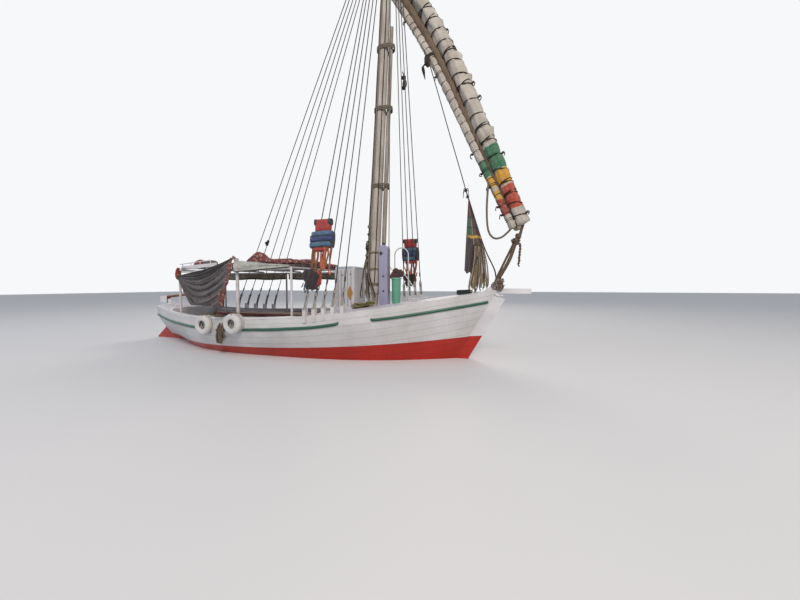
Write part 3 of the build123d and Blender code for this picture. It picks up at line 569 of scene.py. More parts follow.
def repeatTree(name, kind):
    # Rope rings or blocks on points: each point gives the copy's size and the way that it faces
    tree = bpy.data.node_groups.new(name, "GeometryNodeTree")
    tree.is_modifier = True
    for label, socket, flow in (("Geometry", "Geometry", "INPUT"), ("Thickness", "Float", "INPUT"),
                                ("Finish", "Material", "INPUT"), ("Geometry", "Geometry", "OUTPUT")):
        tree.interface.new_socket(name=label, in_out=flow, socket_type="NodeSocket" + socket)
    points, thickness, finish = (addNode(tree, "NodeGroupInput", None, k) for k in range(3))
    if kind == "ring":
        circle = addNode(tree, "GeometryNodeCurvePrimitiveCircle", {"Resolution": 26, "Radius": 1.0})
        section = addNode(tree, "GeometryNodeCurvePrimitiveCircle", {"Resolution": 6, "Radius": thickness})
        shape = addNode(tree, "GeometryNodeCurveToMesh", {"Curve": circle, "Profile Curve": section})
    else:
        extent = addNode(tree, "CombineXYZ", {"X": 1.0, "Y": thickness, "Z": 1.0})
        shape = addNode(tree, "GeometryNodeMeshCube", {"Size": extent})
    size, facing = (addNode(tree, "GeometryNodeInputNamedAttribute", {"data_type": "FLOAT_VECTOR", "Name": label},
                            "Attribute") for label in ("copySize", "copyTurn"))
    copies = addNode(tree, "GeometryNodeInstanceOnPoints",
                     {"Points": points, "Instance": shape, "Rotation": facing, "Scale": size})
    real = addNode(tree, "GeometryNodeRealizeInstances", {0: copies})
    addNode(tree, "NodeGroupOutput",
            {0: addNode(tree, "GeometryNodeSetMaterial", {"Geometry": real, "Material": finish})})
    return tree


repeatTrees = {kind: repeatTree(name, kind) for kind, name in (("ring", "ropeRings"), ("block", "treadBlocks"))}


def bakedMesh(thing):
    graph = bpy.context.evaluated_depsgraph_get()
    return bpy.data.meshes.new_from_object(thing.evaluated_get(graph), depsgraph=graph)


def repeatOn(name, kind, rows, thickness, material, body):
    # Bakes the copies to a mesh. rows hold centre, axis, across and the size along across, up and axis
    mesh = bpy.data.meshes.new(name + "Points")
    mesh.from_pydata([row[0] for row in rows], [], [])
    size = mesh.attributes.new("copySize", "FLOAT_VECTOR", "POINT")
    turn = mesh.attributes.new("copyTurn", "FLOAT_VECTOR", "POINT")
    for i, (_, axis, across, extent) in enumerate(rows):
        axis = axis.normalized()
        across = (across - axis * across.dot(axis)).normalized()
        size.data[i].vector = extent
        turn.data[i].vector = Matrix((across, axis.cross(across), axis)).transposed().to_euler()
    holder = linkObject(name + "Points", mesh)
    modifier = holder.modifiers.new("copies", "NODES")
    group = repeatTrees[kind]
    modifier.node_group = group
    sockets = {item.name: item.identifier for item in group.interface.items_tree if item.in_out == "INPUT"}
    modifier[sockets["Thickness"]] = thickness
    modifier[sockets["Finish"]] = material
    baked = bakedMesh(holder)
    bpy.data.objects.remove(holder)
    baked.name = name
    if not baked.materials:
        baked.materials.append(material)
    baked.polygons.foreach_set("use_smooth", [kind == "ring"] * len(baked.polygons))
    faceOut(baked)
    piece = linkObject(name, baked)
    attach(piece, body)


def rollTurns(name, roll, rows, places):
    # The furling line's turns round one roll, each slanting as it was thrown
    rings = []
    for run, tilt, spread in places:
        row = min(rows, key=lambda r: abs(r["run"] - run))
        centre, along, off = row["centre"], row["along"], row["off"]
        slant = roll["slant"] * (0.7 + 0.5 * tilt)
        hold = row["radius"] * 0.90
        wide = hold * (1 + abs(slant) * 0.32)
        rings.append((centre, along + off * slant * roll["side"], off, (wide, hold, (wide + hold) / 2)))
        if spread > 1.12:
            rings.append((centre + along * 0.03, along - off * slant * 0.6, off,
                          (hold * 1.03, hold * 1.02, hold * 1.025)))
    repeatOn("gaskets_" + name, "ring", rings, 0.075, darkRope, "yard")


def rollEnds(name, roll, rows, places):
    # Loose rope ends and small bights that stick out past the outer edge of a roll
    picker = random.Random(roll["seed"] + 40)
    bag = emptyBag()
    for run, _, _ in places:
        if picker.random() > 0.26:
            continue
        row = min(rows, key=lambda r: abs(r["run"] - run))
        out = row["off"] * roll["side"]
        edge = row["centre"] + out * row["radius"] * 0.94 - row["beam"] * row["radius"] * picker.uniform(-0.3, 0.5)
        drop = -upward * picker.uniform(0.03, 0.09)
        ropeRun(bag, [edge - out * 0.02, edge + out * 0.03 + row["along"] * 0.02, edge + out * 0.05 + drop * 0.4,
                      edge + out * picker.uniform(0.0, 0.05) + drop], 0.0085, 5, 6)
        knot = [edge + out * 0.012 + Vector((0.014 * math.cos(a), 0.012 * math.sin(a), 0.008 * math.sin(2 * a)))
                for a in [k * 0.7 for k in range(10)]]
        ropeRun(bag, knot, 0.009, 2, 6)
    makePiece("gasket_ends_" + name, bag, [darkRope], "yard")


def buildHeelButt():
    # The rounded butt of the spar
    centre, along = pathFrames(yardPath())[0][:2]
    centre = centre - Vector((0, yardLine["near"] * 0.6, 0))
    bag = emptyBag()
    tubeInto(bag, [centre + along * step for step in (-0.062, -0.050, -0.025, 0.02, 0.10)],
             lambda share: 0.070 * (0.45, 0.78, 0.95, 1.0, 0.96)[int(share * 4 + 0.5)], 20)
    makePiece("yard_heel_butt", bag, [heelTimber], "yard")


for name, roll in sailRolls.items():
    rows = rollLine(roll)
    places = turnPlaces(roll, rows[-1]["run"])
    buildRoll(name, roll, rows, places)
    rollTurns(name, roll, rows, places)
    rollEnds(name, roll, rows, places)
buildHeelButt()
print("furled sail")


# Bow: heel tackle, lashings, flag

def stepsFrom(base, *steps):
    return [Vector(base) + Vector(step) for step in steps]


def wrapTurns(bag, centre, axis, radii, pitch, turns, rope, slot=0, start=0.0):
    # Turns of rope round an axis, lying side by side as a lashing does
    axis = Vector(axis).normalized()
    side = axis.cross(Vector((0, 1, 0.2))).normalized()
    front = axis.cross(side)
    path = []
    for k in range(int(turns * 14) + 1):
        angle = fullTurn * k / 14 + start
        wander = 1 + 0.05 * noise.noise((k * 0.31, centre[0] * 3, centre[2] * 3))
        path.append(Vector(centre) + axis * (k / 14 - turns / 2) * pitch
                    + side * math.cos(angle) * radii[0] * wander + front * math.sin(angle) * radii[1] * wander)
    tubeInto(bag, path, rope, 7, slot)


def ropeKnot(bag, centre, size, rope, seed, slot=0):
    # A round knot: one line that winds over itself inside a small ball
    turn = random.Random(seed).uniform(0, 6)
    path = []
    for k in range(46):
        a = k * 0.52 + turn
        b = k * 0.37 + turn
        way = Vector((math.cos(a) * math.cos(b), math.sin(a) * 0.85, math.cos(a) * math.sin(b)))
        path.append(Vector(centre) + way * size * (0.82 + 0.18 * math.sin(k * 1.7)))
    ropeRun(bag, path, rope, 2, 6, slot)


tackle = {
    "knot": Vector((4.135, 0.02, 1.965)), "butt": Vector((4.20, 0.05, 2.20)), "lashing": Vector((3.885, 0.0, 1.335)),
    "strand": 0.019,
    "parts": [((0.024, 0.020, 0), 0.012), ((-0.022, 0.004, 0.006), -0.010), ((0.002, -0.026, -0.004), 0.018)],
    # Lashing turns: centre, axis, radii, pitch, turns, rope, slot and start
    "turns": [((3.885, 0, 1.315), (0.25, 0, 1), (0.062, 0.060), 0.034, 1.7, 0.0155, 0, 0.0),
              ((3.891, 0, 1.327), (-0.15, 0, 1), (0.066, 0.060), 0.034, 1.7, 0.0155, 0, 1.3),
              ((3.897, 0, 1.339), (0.5, 0, 1), (0.060, 0.060), 0.034, 1.7, 0.0155, 0, 2.6),
              ((3.845, 0, 1.235), (0.9, 0, 0.42), (0.072, 0.062), 0.036, 3.0, 0.015, 0, 0.4),
              ((3.90, 0, 1.262), (1, 0, 0.05), (0.058, 0.060), 0.034, 2.2, 0.015, 1, 2.0)],
}


def buildTackle():
    # The tackle that holds the yard's heel down to the stemhead: a knot, three parts and the tail
    bag = emptyBag()
    knot, butt, low = tackle["knot"], tackle["butt"], tackle["lashing"]
    for shift, belly in tackle["parts"]:
        shift = Vector(shift)
        middle = (knot + low) / 2 + shift * 1.2 + Vector((belly, 0, belly))
        ropeRun(bag, [knot + shift * 0.6, middle, low + shift + Vector((-0.02, 0, 0.02))], tackle["strand"], 10)
    ropeRun(bag, stepsFrom(butt, (0.05, 0.0, 0.05), (0.02, -0.01, -0.05))
            + stepsFrom(knot, (0.045, 0, 0.05), (0.03, 0, 0)), 0.022)
    ropeRun(bag, stepsFrom(butt, (0.04, 0.03, 0.02)) + stepsFrom(knot, (0.06, 0.02, 0.07), (0, 0, 0)), 0.018)
    ropeKnot(bag, knot, 0.062, 0.017, 5)
    ropeKnot(bag, knot + Vector((0.035, 0, 0.075)), 0.045, 0.015, 6)
    tail = stepsFrom(knot, (0.075, 0.01, -0.03))
    for k in range(1, 9):
        tail.append(tail[0] + Vector((-0.003 * k + 0.011 * (-1) ** k, 0.009 * (-1) ** (k // 2), -0.047 * k)))
    ropeRun(bag, tail, 0.012, 6)
    ropeRun(bag, [p + Vector((0.018, -0.012, 0)) * (1 if i % 2 else -1) for i, p in enumerate(tail[:-1])], 0.011, 6)
    piece = makePiece("heel_tackle", bag, [tackleRope], None)
    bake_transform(piece)


def buildStemheadLashing():
    bag = emptyBag()
    low = tackle["lashing"]
    for turn in tackle["turns"]:
        wrapTurns(bag, *turn)
    ropeKnot(bag, low + Vector((0.01, -0.045, -0.03)), 0.04, 0.014, 9, 1)
    for k in range(4):
        start = low + Vector((0.03 * k - 0.04, -0.065, -0.06))
        ropeRun(bag, stepsFrom(start, (0, 0, 0), (0.02, -0.02, -0.05), (0.035 - 0.02 * k, -0.01, -0.11)),
                0.011, 6, 6, k % 2)
    makePiece("stemhead_lashing", bag, [greyRope, tackleRope], "hull")


heelLoop = {
    # The slack of the tack line, hung in a bight aft of the heel
    "points": [(3.70, -0.035, 2.93), (3.68, -0.035, 2.66), (3.678, -0.035, 2.40), (3.70, -0.035, 2.14),
               (3.785, -0.03, 2.015), (3.90, -0.02, 2.02), (3.99, 0.0, 2.09), (4.06, 0.02, 2.17)],
    "diameter": 0.034,
}


def cordCurve(name, points, diameter, material, body):
    data = bpy.data.curves.new(name, "CURVE")
    data.dimensions = "3D"
    spline = data.splines.new("NURBS")
    spline.points.add(len(points) - 1)
    for point, place in zip(spline.points, points):
        point.co = (*place, 1)
    spline.order_u = 3
    spline.use_endpoint_u = True
    spline.resolution_u = 10
    data.bevel_depth = diameter / 2
    data.bevel_resolution = 3
    data.use_fill_caps = True
    data.materials.append(material)
    piece = linkObject(name, data)
    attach(piece, body)
    return piece


flagCloth = {
    "apex": (3.377, 0.0, 2.718), "lowAft": (3.322, -0.02, 1.482), "lowFore": (3.440, 0.02, 1.452),
    "sideFore": (3.629, 0.0, 1.923), "rows": 60, "columns": 30, "flat": (0.50, 1.27), "turnAt": 0.62,
    # Sewn bands in a plain design: shares across, shares down and colour
    "bands": [((0, 1), (0.0, 0.24), "#4a2f30"), ((0, 1), (0.27, 0.50), "#2e5a38"),
              ((0.50, 1), (0.27, 0.60), "#4a3034"), ((0, 1), (0.385, 0.405), "#141414"),
              ((0.1, 1), (0.50, 0.535), "#b7962f"), ((0.46, 0.49), (0.30, 0.62), "#a8a094")],
}


def flagMaterial():
    # Thin polyester flag cloth, slightly shiny along its folds
    material, tree = startMaterial("flagPolyester")
    colour = "#2b2025"
    for *spans, dye in flagCloth["bands"]:
        inside = [addNode(tree, "Math", {"operation": "COMPARE", 1: (low + high) / 2, 2: (high - low) / 2,
                                         0: addNode(tree, "SeparateXYZ", {0: surfacePlace(tree, source="UV")}, axis)})
                  for axis, (low, high) in enumerate(spans)]
        both = addNode(tree, "Math", {"operation": "MULTIPLY", 0: inside[0], 1: inside[1]})
        colour = tint(tree, colour, both, dye)
    weave = grain(tree, 0.01, 3)
    colour = tint(tree, colour, weave, "#5b5450", [(0.3, 0.0), (0.9, 0.35)])
    return endMaterial(material, {"Base Color": colour, "Roughness": 0.62, "Sheen Weight": 0.3},
                       (weave, 0.0015, 0.4))


def buildFlag():
    # The flag hangs slack from its line: the hoist gathers at the top and the folds open downward
    apex, lowAft, lowFore, sideFore = (Vector(flagCloth[key]) for key in ("apex", "lowAft", "lowFore", "sideFore"))
    turnAt = flagCloth["turnAt"]

    def place(across, down):
        if down < turnAt:
            right = apex.lerp(sideFore, down / turnAt)
        else:
            right = sideFore.lerp(lowFore, ((down - turnAt) / (1 - turnAt)) ** 0.8)
        spot = apex.lerp(lowAft, down).lerp(right, across)
        fold = math.sin(across * 9.5 + 1.5 * down + 0.6) * 0.36 + math.sin(across * 19 - 3 * down) * 0.14
        fold += 0.22 * noise.noise((across * 3, down * 4, 2.0))
        spot.y += 0.15 * min(1.0, down * 1.5) * fold * 0.55
        spot.z += 0.02 * math.sin(across * 9.5 + 1.0) * down
        return spot

    bag = emptyBag()
    sheetInto(bag, flagCloth["rows"], flagCloth["columns"], place, 0.0025, way=(0, -1, 0))
    piece = makePiece("flag_cloth_folds", bag, [flagMaterial()], "hull", replaces="flag")


def buildFlagLines():
    bag = emptyBag()
    apex = Vector(flagCloth["apex"])
    top = Vector((3.335, 0.0, 2.845))
    ropeRun(bag, [(3.84, 0, 1.38), (3.805, 0, 1.533), (3.63, 0.0, 1.925), apex], 0.011)
    ropeKnot(bag, apex + Vector((-0.012, 0, 0.02)), 0.024, 0.008, 3)
    ropeKnot(bag, top, 0.026, 0.008, 4)
    for k in range(4):
        side = (-1) ** k
        ropeRun(bag, stepsFrom(top, (0, 0, 0.005), (0.03 * side, 0.01, 0.035),
                               (0.045 * side, 0.01 * k, -0.025 - 0.03 * k)), 0.005, 5)
    ropeRun(bag, [apex, top], 0.009)
    makePiece("flag_line", bag, [darkRope], "hull")
    halyard = emptyBag()
    ropeRun(halyard, [(3.335, 0.0, 2.85), (3.20, 0.03, 3.32), (3.02, 0.07, 3.93), (2.80, 0.13, 4.70),
                      (2.62, 0.18, 5.30)], 0.008, 6)
    piece = makePiece("flag_halyard", halyard, [darkRope], None)
    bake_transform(piece)


tassels = {"threads": 34, "thread": 0.0085, "seed": 21, "top": 1.915}


def buildTassels():
    # A bundle of unlaid rope yarns tied below the flag; its ends rest on the foredeck
    draw = random.Random(tassels["seed"]).uniform
    bag = emptyBag()
    for k in range(tassels["threads"]):
        share = (k + draw(-0.3, 0.3)) / tassels["threads"]
        top = Vector((3.495 + 0.135 * share, draw(-0.03, 0.03), tassels["top"] - 0.02 * share))
        fan = Vector((3.40 + 0.33 * share, draw(-0.09, 0.06), draw(1.19, 1.30) + 0.08 * share))
        middle = top.lerp(fan, 0.5) + Vector((draw(-0.015, 0.015) + 0.015, draw(-0.02, 0.02), 0))
        curl = fan + Vector((draw(-0.03, 0.03), draw(-0.04, 0.03), draw(-0.10, -0.05)))
        ropeRun(bag, [top, middle, fan, curl], tassels["thread"] * draw(0.7, 1.3), 7, 5, k % 3 == 0)
    wrapTurns(bag, (3.56, 0, 1.93), (0.1, 0, 1), (0.055, 0.032), 0.016, 2.6, 0.008, 2)
    makePiece("rope_yarn_bundle", bag, [paleRope, greyRope, tackleRope], "hull")


# Cloth and pads

def wovenCloth(name, colour, second, thread=0.006, rough=0.85, patch=0.12):
    # Woven cloth in use: matt, dusty in its folds, the thread drawn coarse enough to show
    material, tree = startMaterial(name)
    base = tint(tree, colour, grain(tree, patch, 5, 0.6), second, [(0.35, 0.0), (0.68, 1.0)])
    weave = grain(tree, thread, 2, stretch=(1, 1, 2.5))
    return endMaterial(material, {"Base Color": base, "Roughness": rough, "Sheen Weight": 0.2},
                       (tint(tree, weave, 0.6, grain(tree, 0.03)), 0.003, 0.7))


def floralCloth(name, ground, petal, leaf, size):
    # Printed cotton: loose round blooms and leaves of like colours on a dark red ground
    material, tree = startMaterial(name)
    bloom = addNode(tree, "TexVoronoi", {"Scale": 1 / size, "Randomness": 0.9, "Vector": surfacePlace(tree)})
    leaves = addNode(tree, "TexVoronoi", {"Scale": 1.7 / size, "Vector": surfacePlace(tree, (1, 1.3, 1))})
    colour = tint(tree, ground, bloom, petal, [(0.30, 1.0), (0.42, 0.0)])
    colour = tint(tree, colour, leaves, leaf, [(0.22, 0.9), (0.30, 0.0)])
    colour = tint(tree, colour, grain(tree, 0.2), "#6d5a50", [(0.4, 0.0), (0.8, 0.5)])
    return endMaterial(material, {"Base Color": colour, "Roughness": 0.85}, (grain(tree, 0.012, 3), 0.002, 0.5))


def sheetInto(bag, rows, columns, place, thick, flat=(1.0, 1.0), way=None):
    # A closed thin sheet. place gives a point of its outer face from two shares, across and down
    front = [[Vector(place(c / (columns - 1), r / (rows - 1))) for c in range(columns)] for r in range(rows)]
    back, uv = [], []
    for r in range(rows):
        for c in range(columns):
            across = front[r][min(c + 1, columns - 1)] - front[r][max(c - 1, 0)]
            down = front[min(r + 1, rows - 1)][c] - front[max(r - 1, 0)][c]
            normal = Vector(way) if way else across.cross(down)
            normal = normal.normalized() if normal.length > 1e-9 else Vector((0, 1, 0))
            back.append(front[r][c] - normal * thick)
            uv.append((c / (columns - 1) * flat[0], r / (rows - 1) * flat[1]))
    addToBag(bag, [p for row in front for p in row] + back, shellFaces(rows, columns), 0, uv * 2)


def lumpInto(bag, centre, radii, seed, rough=0.16, folds=5, slot=0, rows=30, columns=40, turn=0.0, flatten=0.0):
    # Crumpled cloth or a stuffed bundle: a ball with wandering folds, its underside pressed flat
    points, uv = [], []
    spin = Matrix.Rotation(turn, 3, "Z")
    for r in range(rows + 1):
        pole = math.pi * r / rows
        for c in range(columns):
            angle = fullTurn * c / columns
            way = Vector((math.sin(pole) * math.cos(angle), math.sin(pole) * math.sin(angle), math.cos(pole)))
            swell = noise.noise(way * 1.6 + Vector((seed, 0, 0)))
            crease = 1 - abs(noise.noise(way * folds * 0.6 + Vector((seed, 7.1, 0)))) * 2.2
            fine = noise.noise(way * folds * 2.1 + Vector((0, seed, 3.3)))
            size = 1 + rough * (0.8 * swell + 0.35 * crease + 0.3 * fine)
            spot = Vector((way.x * radii[0], way.y * radii[1], way.z * radii[2])) * size
            spot.z = max(spot.z, -radii[2] * (1 - flatten))
            points.append(Vector(centre) + spin @ spot)
            uv.append((c / columns, r / rows))
    addToBag(bag, points, gridFaces(rows + 1, columns, True), slot, uv)


def padInto(bag, centre, across, up, size, slot=0, seed=0, rows=14, columns=18):
    # A stuffed pad with sewn edges: full in the middle, thin along the seam, slightly uneven
    across = Vector(across).normalized()
    up = Vector(up).normalized()
    out = across.cross(up).normalized()
    points, uv = [], []
    for face in (1, -1):
        for r in range(rows):
            for c in range(columns):
                u = 2 * c / (columns - 1) - 1
                v = 2 * r / (rows - 1) - 1
                reach = 1 - 0.06 * abs(u * v) ** 2      # corners of the outline are pulled in
                full = max(0.0, (1 - abs(u) ** 4) * (1 - abs(v) ** 4)) ** 0.42
                dent = 1 + 0.10 * noise.noise(Vector((u * 1.7 + seed, v * 1.7, face * 3.0)))
                points.append(Vector(centre) + across * (u * reach * size[0] / 2) + up * (v * reach * size[1] / 2)
                              + out * face * (0.12 + 0.88 * full) * size[2] / 2 * dent)
                uv.append((c / (columns - 1), r / (rows - 1)))
    addToBag(bag, points, shellFaces(rows, columns), slot, uv)


def strapInto(bag, points, width, thick, slot=0, side=(1, 0, 0)):
    # Flat webbing along a path; side is the way that its width lies
    corners, uv = [], []
    frames = pathFrames(smoothPath(points, 6))
    for spot, along, _, _, run in frames:
        wide = (Vector(side) - along * along.dot(Vector(side))).normalized()
        deep = along.cross(wide)
        for a, b in ((-1, -1), (1, -1), (1, 1), (-1, 1)):
            corners.append(spot + wide * a * width / 2 + deep * b * thick / 2)
            uv.append((a * 0.5 + 0.5, run))
    addToBag(bag, corners, barFaces(len(frames), 4), slot, uv)


loopPiece = cordCurve("tack_line_bight", heelLoop["points"], heelLoop["diameter"], greyRope, "yard")
buildTackle()
buildStemheadLashing()
buildFlag()
buildFlagLines()
buildTassels()
print("heel tackle and flag")


# Life jackets on the shrouds

vestCloths = [wovenCloth("vestRedNylon", "#a12c26", "#7a2a26", 0.005, 0.6),
              wovenCloth("vestBlueNylon", "#26376c", "#1b2750", 0.005, 0.55),
              wovenCloth("vestPaleBlueNylon", "#45667f", "#2b4560", 0.005, 0.55),
              wovenCloth("vestDarkNylon", "#191c2a", "#252a38", 0.005, 0.6)]
strapCloths = [wovenCloth("strapOrangeWebbing", "#b5603a", "#8c4a36", 0.004, 0.7),
               wovenCloth("strapBrownWebbing", "#7b5236", "#4f3a2c", 0.004, 0.75)]
bundleBlack = wovenCloth("bundleBlackCloth", "#1d191c", "#33292a")

jackets = {
    # vest, top and bundle are width, thickness and height; front and strapX as in the solids
    "starboard": {"side": -1, "front": 1, "bands": 1.0, "vest": (0.43, 0.145, 0.26), "top": (0.285, 0.12, 0.235),
                  "strapX": -0.12, "bundle": (0.30, 0.12, 0.34), "seed": 2, "straps": 13, "drop": 0.40},
    "port": {"side": 1, "front": -1, "bands": 0.74, "vest": (0.36, 0.14, 0.27), "top": (0.27, 0.12, 0.20),
             "strapX": 0.0, "bundle": (0.22, 0.12, 0.27), "seed": 9, "straps": 9, "drop": 0.32},
}
bundleLumps = ((0.0, -0.05, 0.36, 0.44), (-0.30, 0.16, 0.22, 0.30), (0.24, 0.18, 0.22, 0.28),
               (-0.18, -0.20, 0.24, 0.28), (0.16, -0.24, 0.20, 0.24), (0.0, 0.26, 0.20, 0.22))


def buildVest(name, row, spot, up):
    bag = emptyBag()
    across = Vector((1, 0, 0))
    topWide, topThick, topHigh = row["top"]
    wide, thick, high = row["vest"]
    padInto(bag, spot(0.0, topHigh * 0.56), across, up, (topWide, topHigh * 0.95, topThick), 0, 1.3, 18, 20)
    for end in (-1, 1):
        padInto(bag, spot(end * topWide * 0.43, topHigh * 0.32, 0.006), across + up * 0.06 * end, up,
                (topWide * 0.24, topHigh * 0.44, topThick * 0.9), 3, 2.2 + end)
    for k in range(3):
        bandWide = (wide * (0.90 + 0.06 * k) - (0.05 if k == 2 else 0)) * row["bands"]
        down = topHigh + high * (k + 0.5) / 3 - 0.01
        padInto(bag, spot(-0.012 * k, down, 0.018), across + up * 0.03, up,
                (bandWide, high * 0.34, thick * 0.80), (2, 1, 2)[k], 4.0 + k, 12, 26)
        if k:
            seam = down - high / 6
            line = [spot(-bandWide * 0.5 - 0.005, seam, 0.035), spot(0, seam, 0.062), spot(bandWide * 0.5, seam, 0.035)]
            strapInto(bag, line, 0.030, 0.008, 3, up)
    padInto(bag, spot(-0.01, topHigh + high * 0.48, -0.018), across, up, (wide * 1.04, high * 1.06, thick * 0.62),
            3, 7.7, 14, 20)
    padInto(bag, spot(-0.015, topHigh + high + 0.02), across, up, (wide * 0.62, 0.07, thick * 0.7), 0, 8.8)
    vest = makePiece(f"life_vest_{name}", bag, vestCloths, "hull", replaces="life_jacket_" + name)


def buildJacketStraps(name, row, spot, foot, draw):
    bag = emptyBag()
    wide = row["vest"][0]
    for k in range(row["straps"]):
        x = -wide * 0.46 + (k + 0.5) / row["straps"] * wide * 0.92 + draw(-0.02, 0.02)
        length = row["drop"] * draw(0.72, 1.02)
        deep = draw(-0.03, 0.05)
        x2 = x * 0.82 + draw(-0.03, 0.03) - 0.01
        line = [spot(x, foot - 0.02, deep), spot(x + draw(-0.02, 0.02), foot + length * 0.35, deep + 0.01),
                spot((x + x2) / 2, foot + length * 0.7, deep + draw(-0.01, 0.02)), spot(x2, foot + length, deep)]
        way = (1, draw(-0.7, 0.7), 0)
        strapInto(bag, line, draw(0.022, 0.036), 0.004, k % 3 == 1, way)
        if k % 4 == 0:
            hook = [spot(x2, foot + length - 0.01, deep), spot(x2 + 0.03, foot + length + 0.03, deep),
                    spot(x2 + 0.045, foot + length - 0.05, deep)]
            strapInto(bag, hook, 0.026, 0.004, 0, way)
    makePiece(f"life_vest_straps_{name}", bag, strapCloths, "hull")


def buildJacketBundle(name, row, centre, draw):
    bag = emptyBag()
    wide, thick, high = row["bundle"]
    for dx, dz, share, tall in bundleLumps:
        shift = Vector((dx * wide, -0.012 * row["side"] * row["front"] * (dx > 0), dz * high))
        lumpInto(bag, centre + shift, (wide * share, thick * 0.42, high * tall), row["seed"] + 9 * dx + 5 * dz,
                 0.30, 7, 0, 20, 28)
    for _ in range(16):
        start = centre + Vector((draw(-0.45, 0.42) * wide, draw(-0.04, 0.04), high * draw(-0.34, 0.1)))
        end = start + Vector((draw(-0.05, 0.04), draw(-0.02, 0.02), -high * draw(0.18, 0.34)))
        strapInto(bag, [start, (start + end) / 2 + Vector((0.014, -0.010, 0)), end], 0.015, 0.004, 1)
    for _ in range(5):
        start = centre + Vector((wide * draw(0.3, 0.55), draw(-0.03, 0.03), high * 0.35))
        end = start + Vector((draw(-0.02, 0.03), 0, -high * draw(0.5, 0.75)))
        strapInto(bag, [start, (start + end) / 2 + Vector((0.02, 0, 0)), end], 0.028, 0.005, 2)
    piece = makePiece(f"folded_jacket_bundle_{name}", bag, [bundleBlack, vestCloths[3], vestCloths[0]], "hull")


def buildJacket(name, row):
    low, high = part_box("life_jacket_" + name)
    side = row["side"]
    lean = math.radians(side * 8)
    up = Vector((0, -math.sin(lean), math.cos(lean)))
    out = Vector((0, math.cos(lean), math.sin(lean))) * side * row["front"]
    head = Vector(((low[0] + high[0]) / 2 - row["strapX"] * 0.5,
                   (low[1] + high[1]) / 2 - (high[1] - low[1]) * 0.28 * side, high[2]))

    def spot(x, down, deep=0.0):
        return head + Vector((x, 0, 0)) - up * down + out * deep

    draw = random.Random(row["seed"]).uniform
    foot = row["top"][2] + row["vest"][2]
    buildVest(name, row, spot, up)
    buildJacketStraps(name, row, spot, foot, draw)
    centre = spot(row["strapX"] * 0.9 - 0.05, foot + row["drop"] * 0.9 + row["bundle"][2] * 0.40, -0.01)
    buildJacketBundle(name, row, centre, draw)


for name, row in jackets.items():
    buildJacket(name, row)
print("life jackets")


# Awning cloths

roofPlain = wovenCloth("roofGreyCanvas", "#8f8b85", "#6f6a65", 0.008, 0.9, 0.3)
curtainGrey = wovenCloth("curtainDarkGreyCotton", "#5c5859", "#454143", 0.005, 0.88, 0.10)
gussetPale = wovenCloth("gussetPaleCanvas", "#b4b6b1", "#8d8d88", patch=0.15)
valanceOlive = wovenCloth("valanceOliveCanvas", "#aca694", "#8b8475", 0.006, 0.88, 0.15)
# Dark binding for the gusset's hem; on the valance the same dark is painted shade along its lower edge
hemDarkAndShade = wovenCloth("hemDarkBindingAndPaintedShade", "#2c2b2a", "#3b3937", 0.005, 0.8)
edgeFloral = floralCloth("curtainEdgePrint", "#6e3a38", "#b4937f", "#474a3c", 0.045)
roofFloral = floralCloth("roofMaroonPrint", "#6c2c33", "#a5877d", "#3b3b31", 0.06)
bundleRed = wovenCloth("bundleRedCloth", "#8f3226", "#63231d")
bundleGrey = wovenCloth("bundleGreyCloth", "#6d675f", "#4f4a45", 0.006, 0.88)

awning = {
    # Rails: the starboard and port lines of the posts, aft end to fore end
    "starboardRail": ((-2.48, -0.60), (-0.65, -0.90), (0.56, -0.96)),
    "portRail": ((-2.48, 0.52), (-0.90, 0.78), (0.56, 0.88)),
    "beams": (-2.40, -1.50, -0.55, 0.48),
    "curtainOut": 0.072,
}


def railSide(rail, x):
    rows = awning[rail]
    for a, b in zip(rows, rows[1:]):
        if x <= b[0] or b is rows[-1]:
            return a[1] + (x - a[0]) / (b[0] - a[0]) * (b[1] - a[1])


def curtainSide(x):
    return railSide("starboardRail", x) - awning["curtainOut"]


def sheetPiece(name, sheets, material, replaces=None):
    # Each sheet is its rows, columns, place, thickness and flat size
    bag = emptyBag()
    for sheet in sheets:
        sheetInto(bag, *sheet)
    return makePiece(name, bag, [material], "hull", replaces=replaces)


roof = {
    # How far it laps over the rails, then its sag, its scallops between lacings, its crown and its ripple
    "lap": 0.036, "sag": 0.030, "scallop": 0.020, "lacings": 19, "crown": 0.018, "ripple": 0.008,
    "post": (-0.65, -0.90, 0.03),     # where a post pushes the cloth up, and how far
    "cloth": (34, 90), "thick": 0.004, "flat": (3.0, 1.86), "area": 5.0,
}


def buildRoof():
    # Old canvas laced over the cross beams: it sags between them and its edges scallop between the lacings
    low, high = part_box("awning_roof")
    postX, postY, push = roof["post"]

    def place(u, v):
        x = low[0] + 0.004 + (high[0] - low[0] - 0.008) * u
        near = railSide("starboardRail", x) - roof["lap"]
        far = railSide("portRail", x) + roof["lap"]
        gap = min(abs(x - beam) for beam in awning["beams"])
        sag = roof["sag"] * math.sin(min(1.0, gap / 0.48) * math.pi / 2) ** 2
        scallop = roof["scallop"] * abs(math.sin(u * roof["lacings"])) * math.exp(-min(v, 1 - v) / 0.05)
        y = near + (far - near) * v + (scallop if v < 0.5 else -scallop)
        lift = roof["crown"] * math.sin(v * math.pi) + roof["ripple"] * noise.noise((x * 6, y * 7, 0.0))
        lift += math.exp(-(((x - postX) / 0.12) ** 2 + ((y - postY) / 0.10) ** 2)) * push
        return (x, y, high[2] + 0.006 - sag + lift)

    piece = sheetPiece("awning_roof_canvas", [(*roof["cloth"], place, roof["thick"], roof["flat"])], roofPlain,
                       replaces="awning_roof")


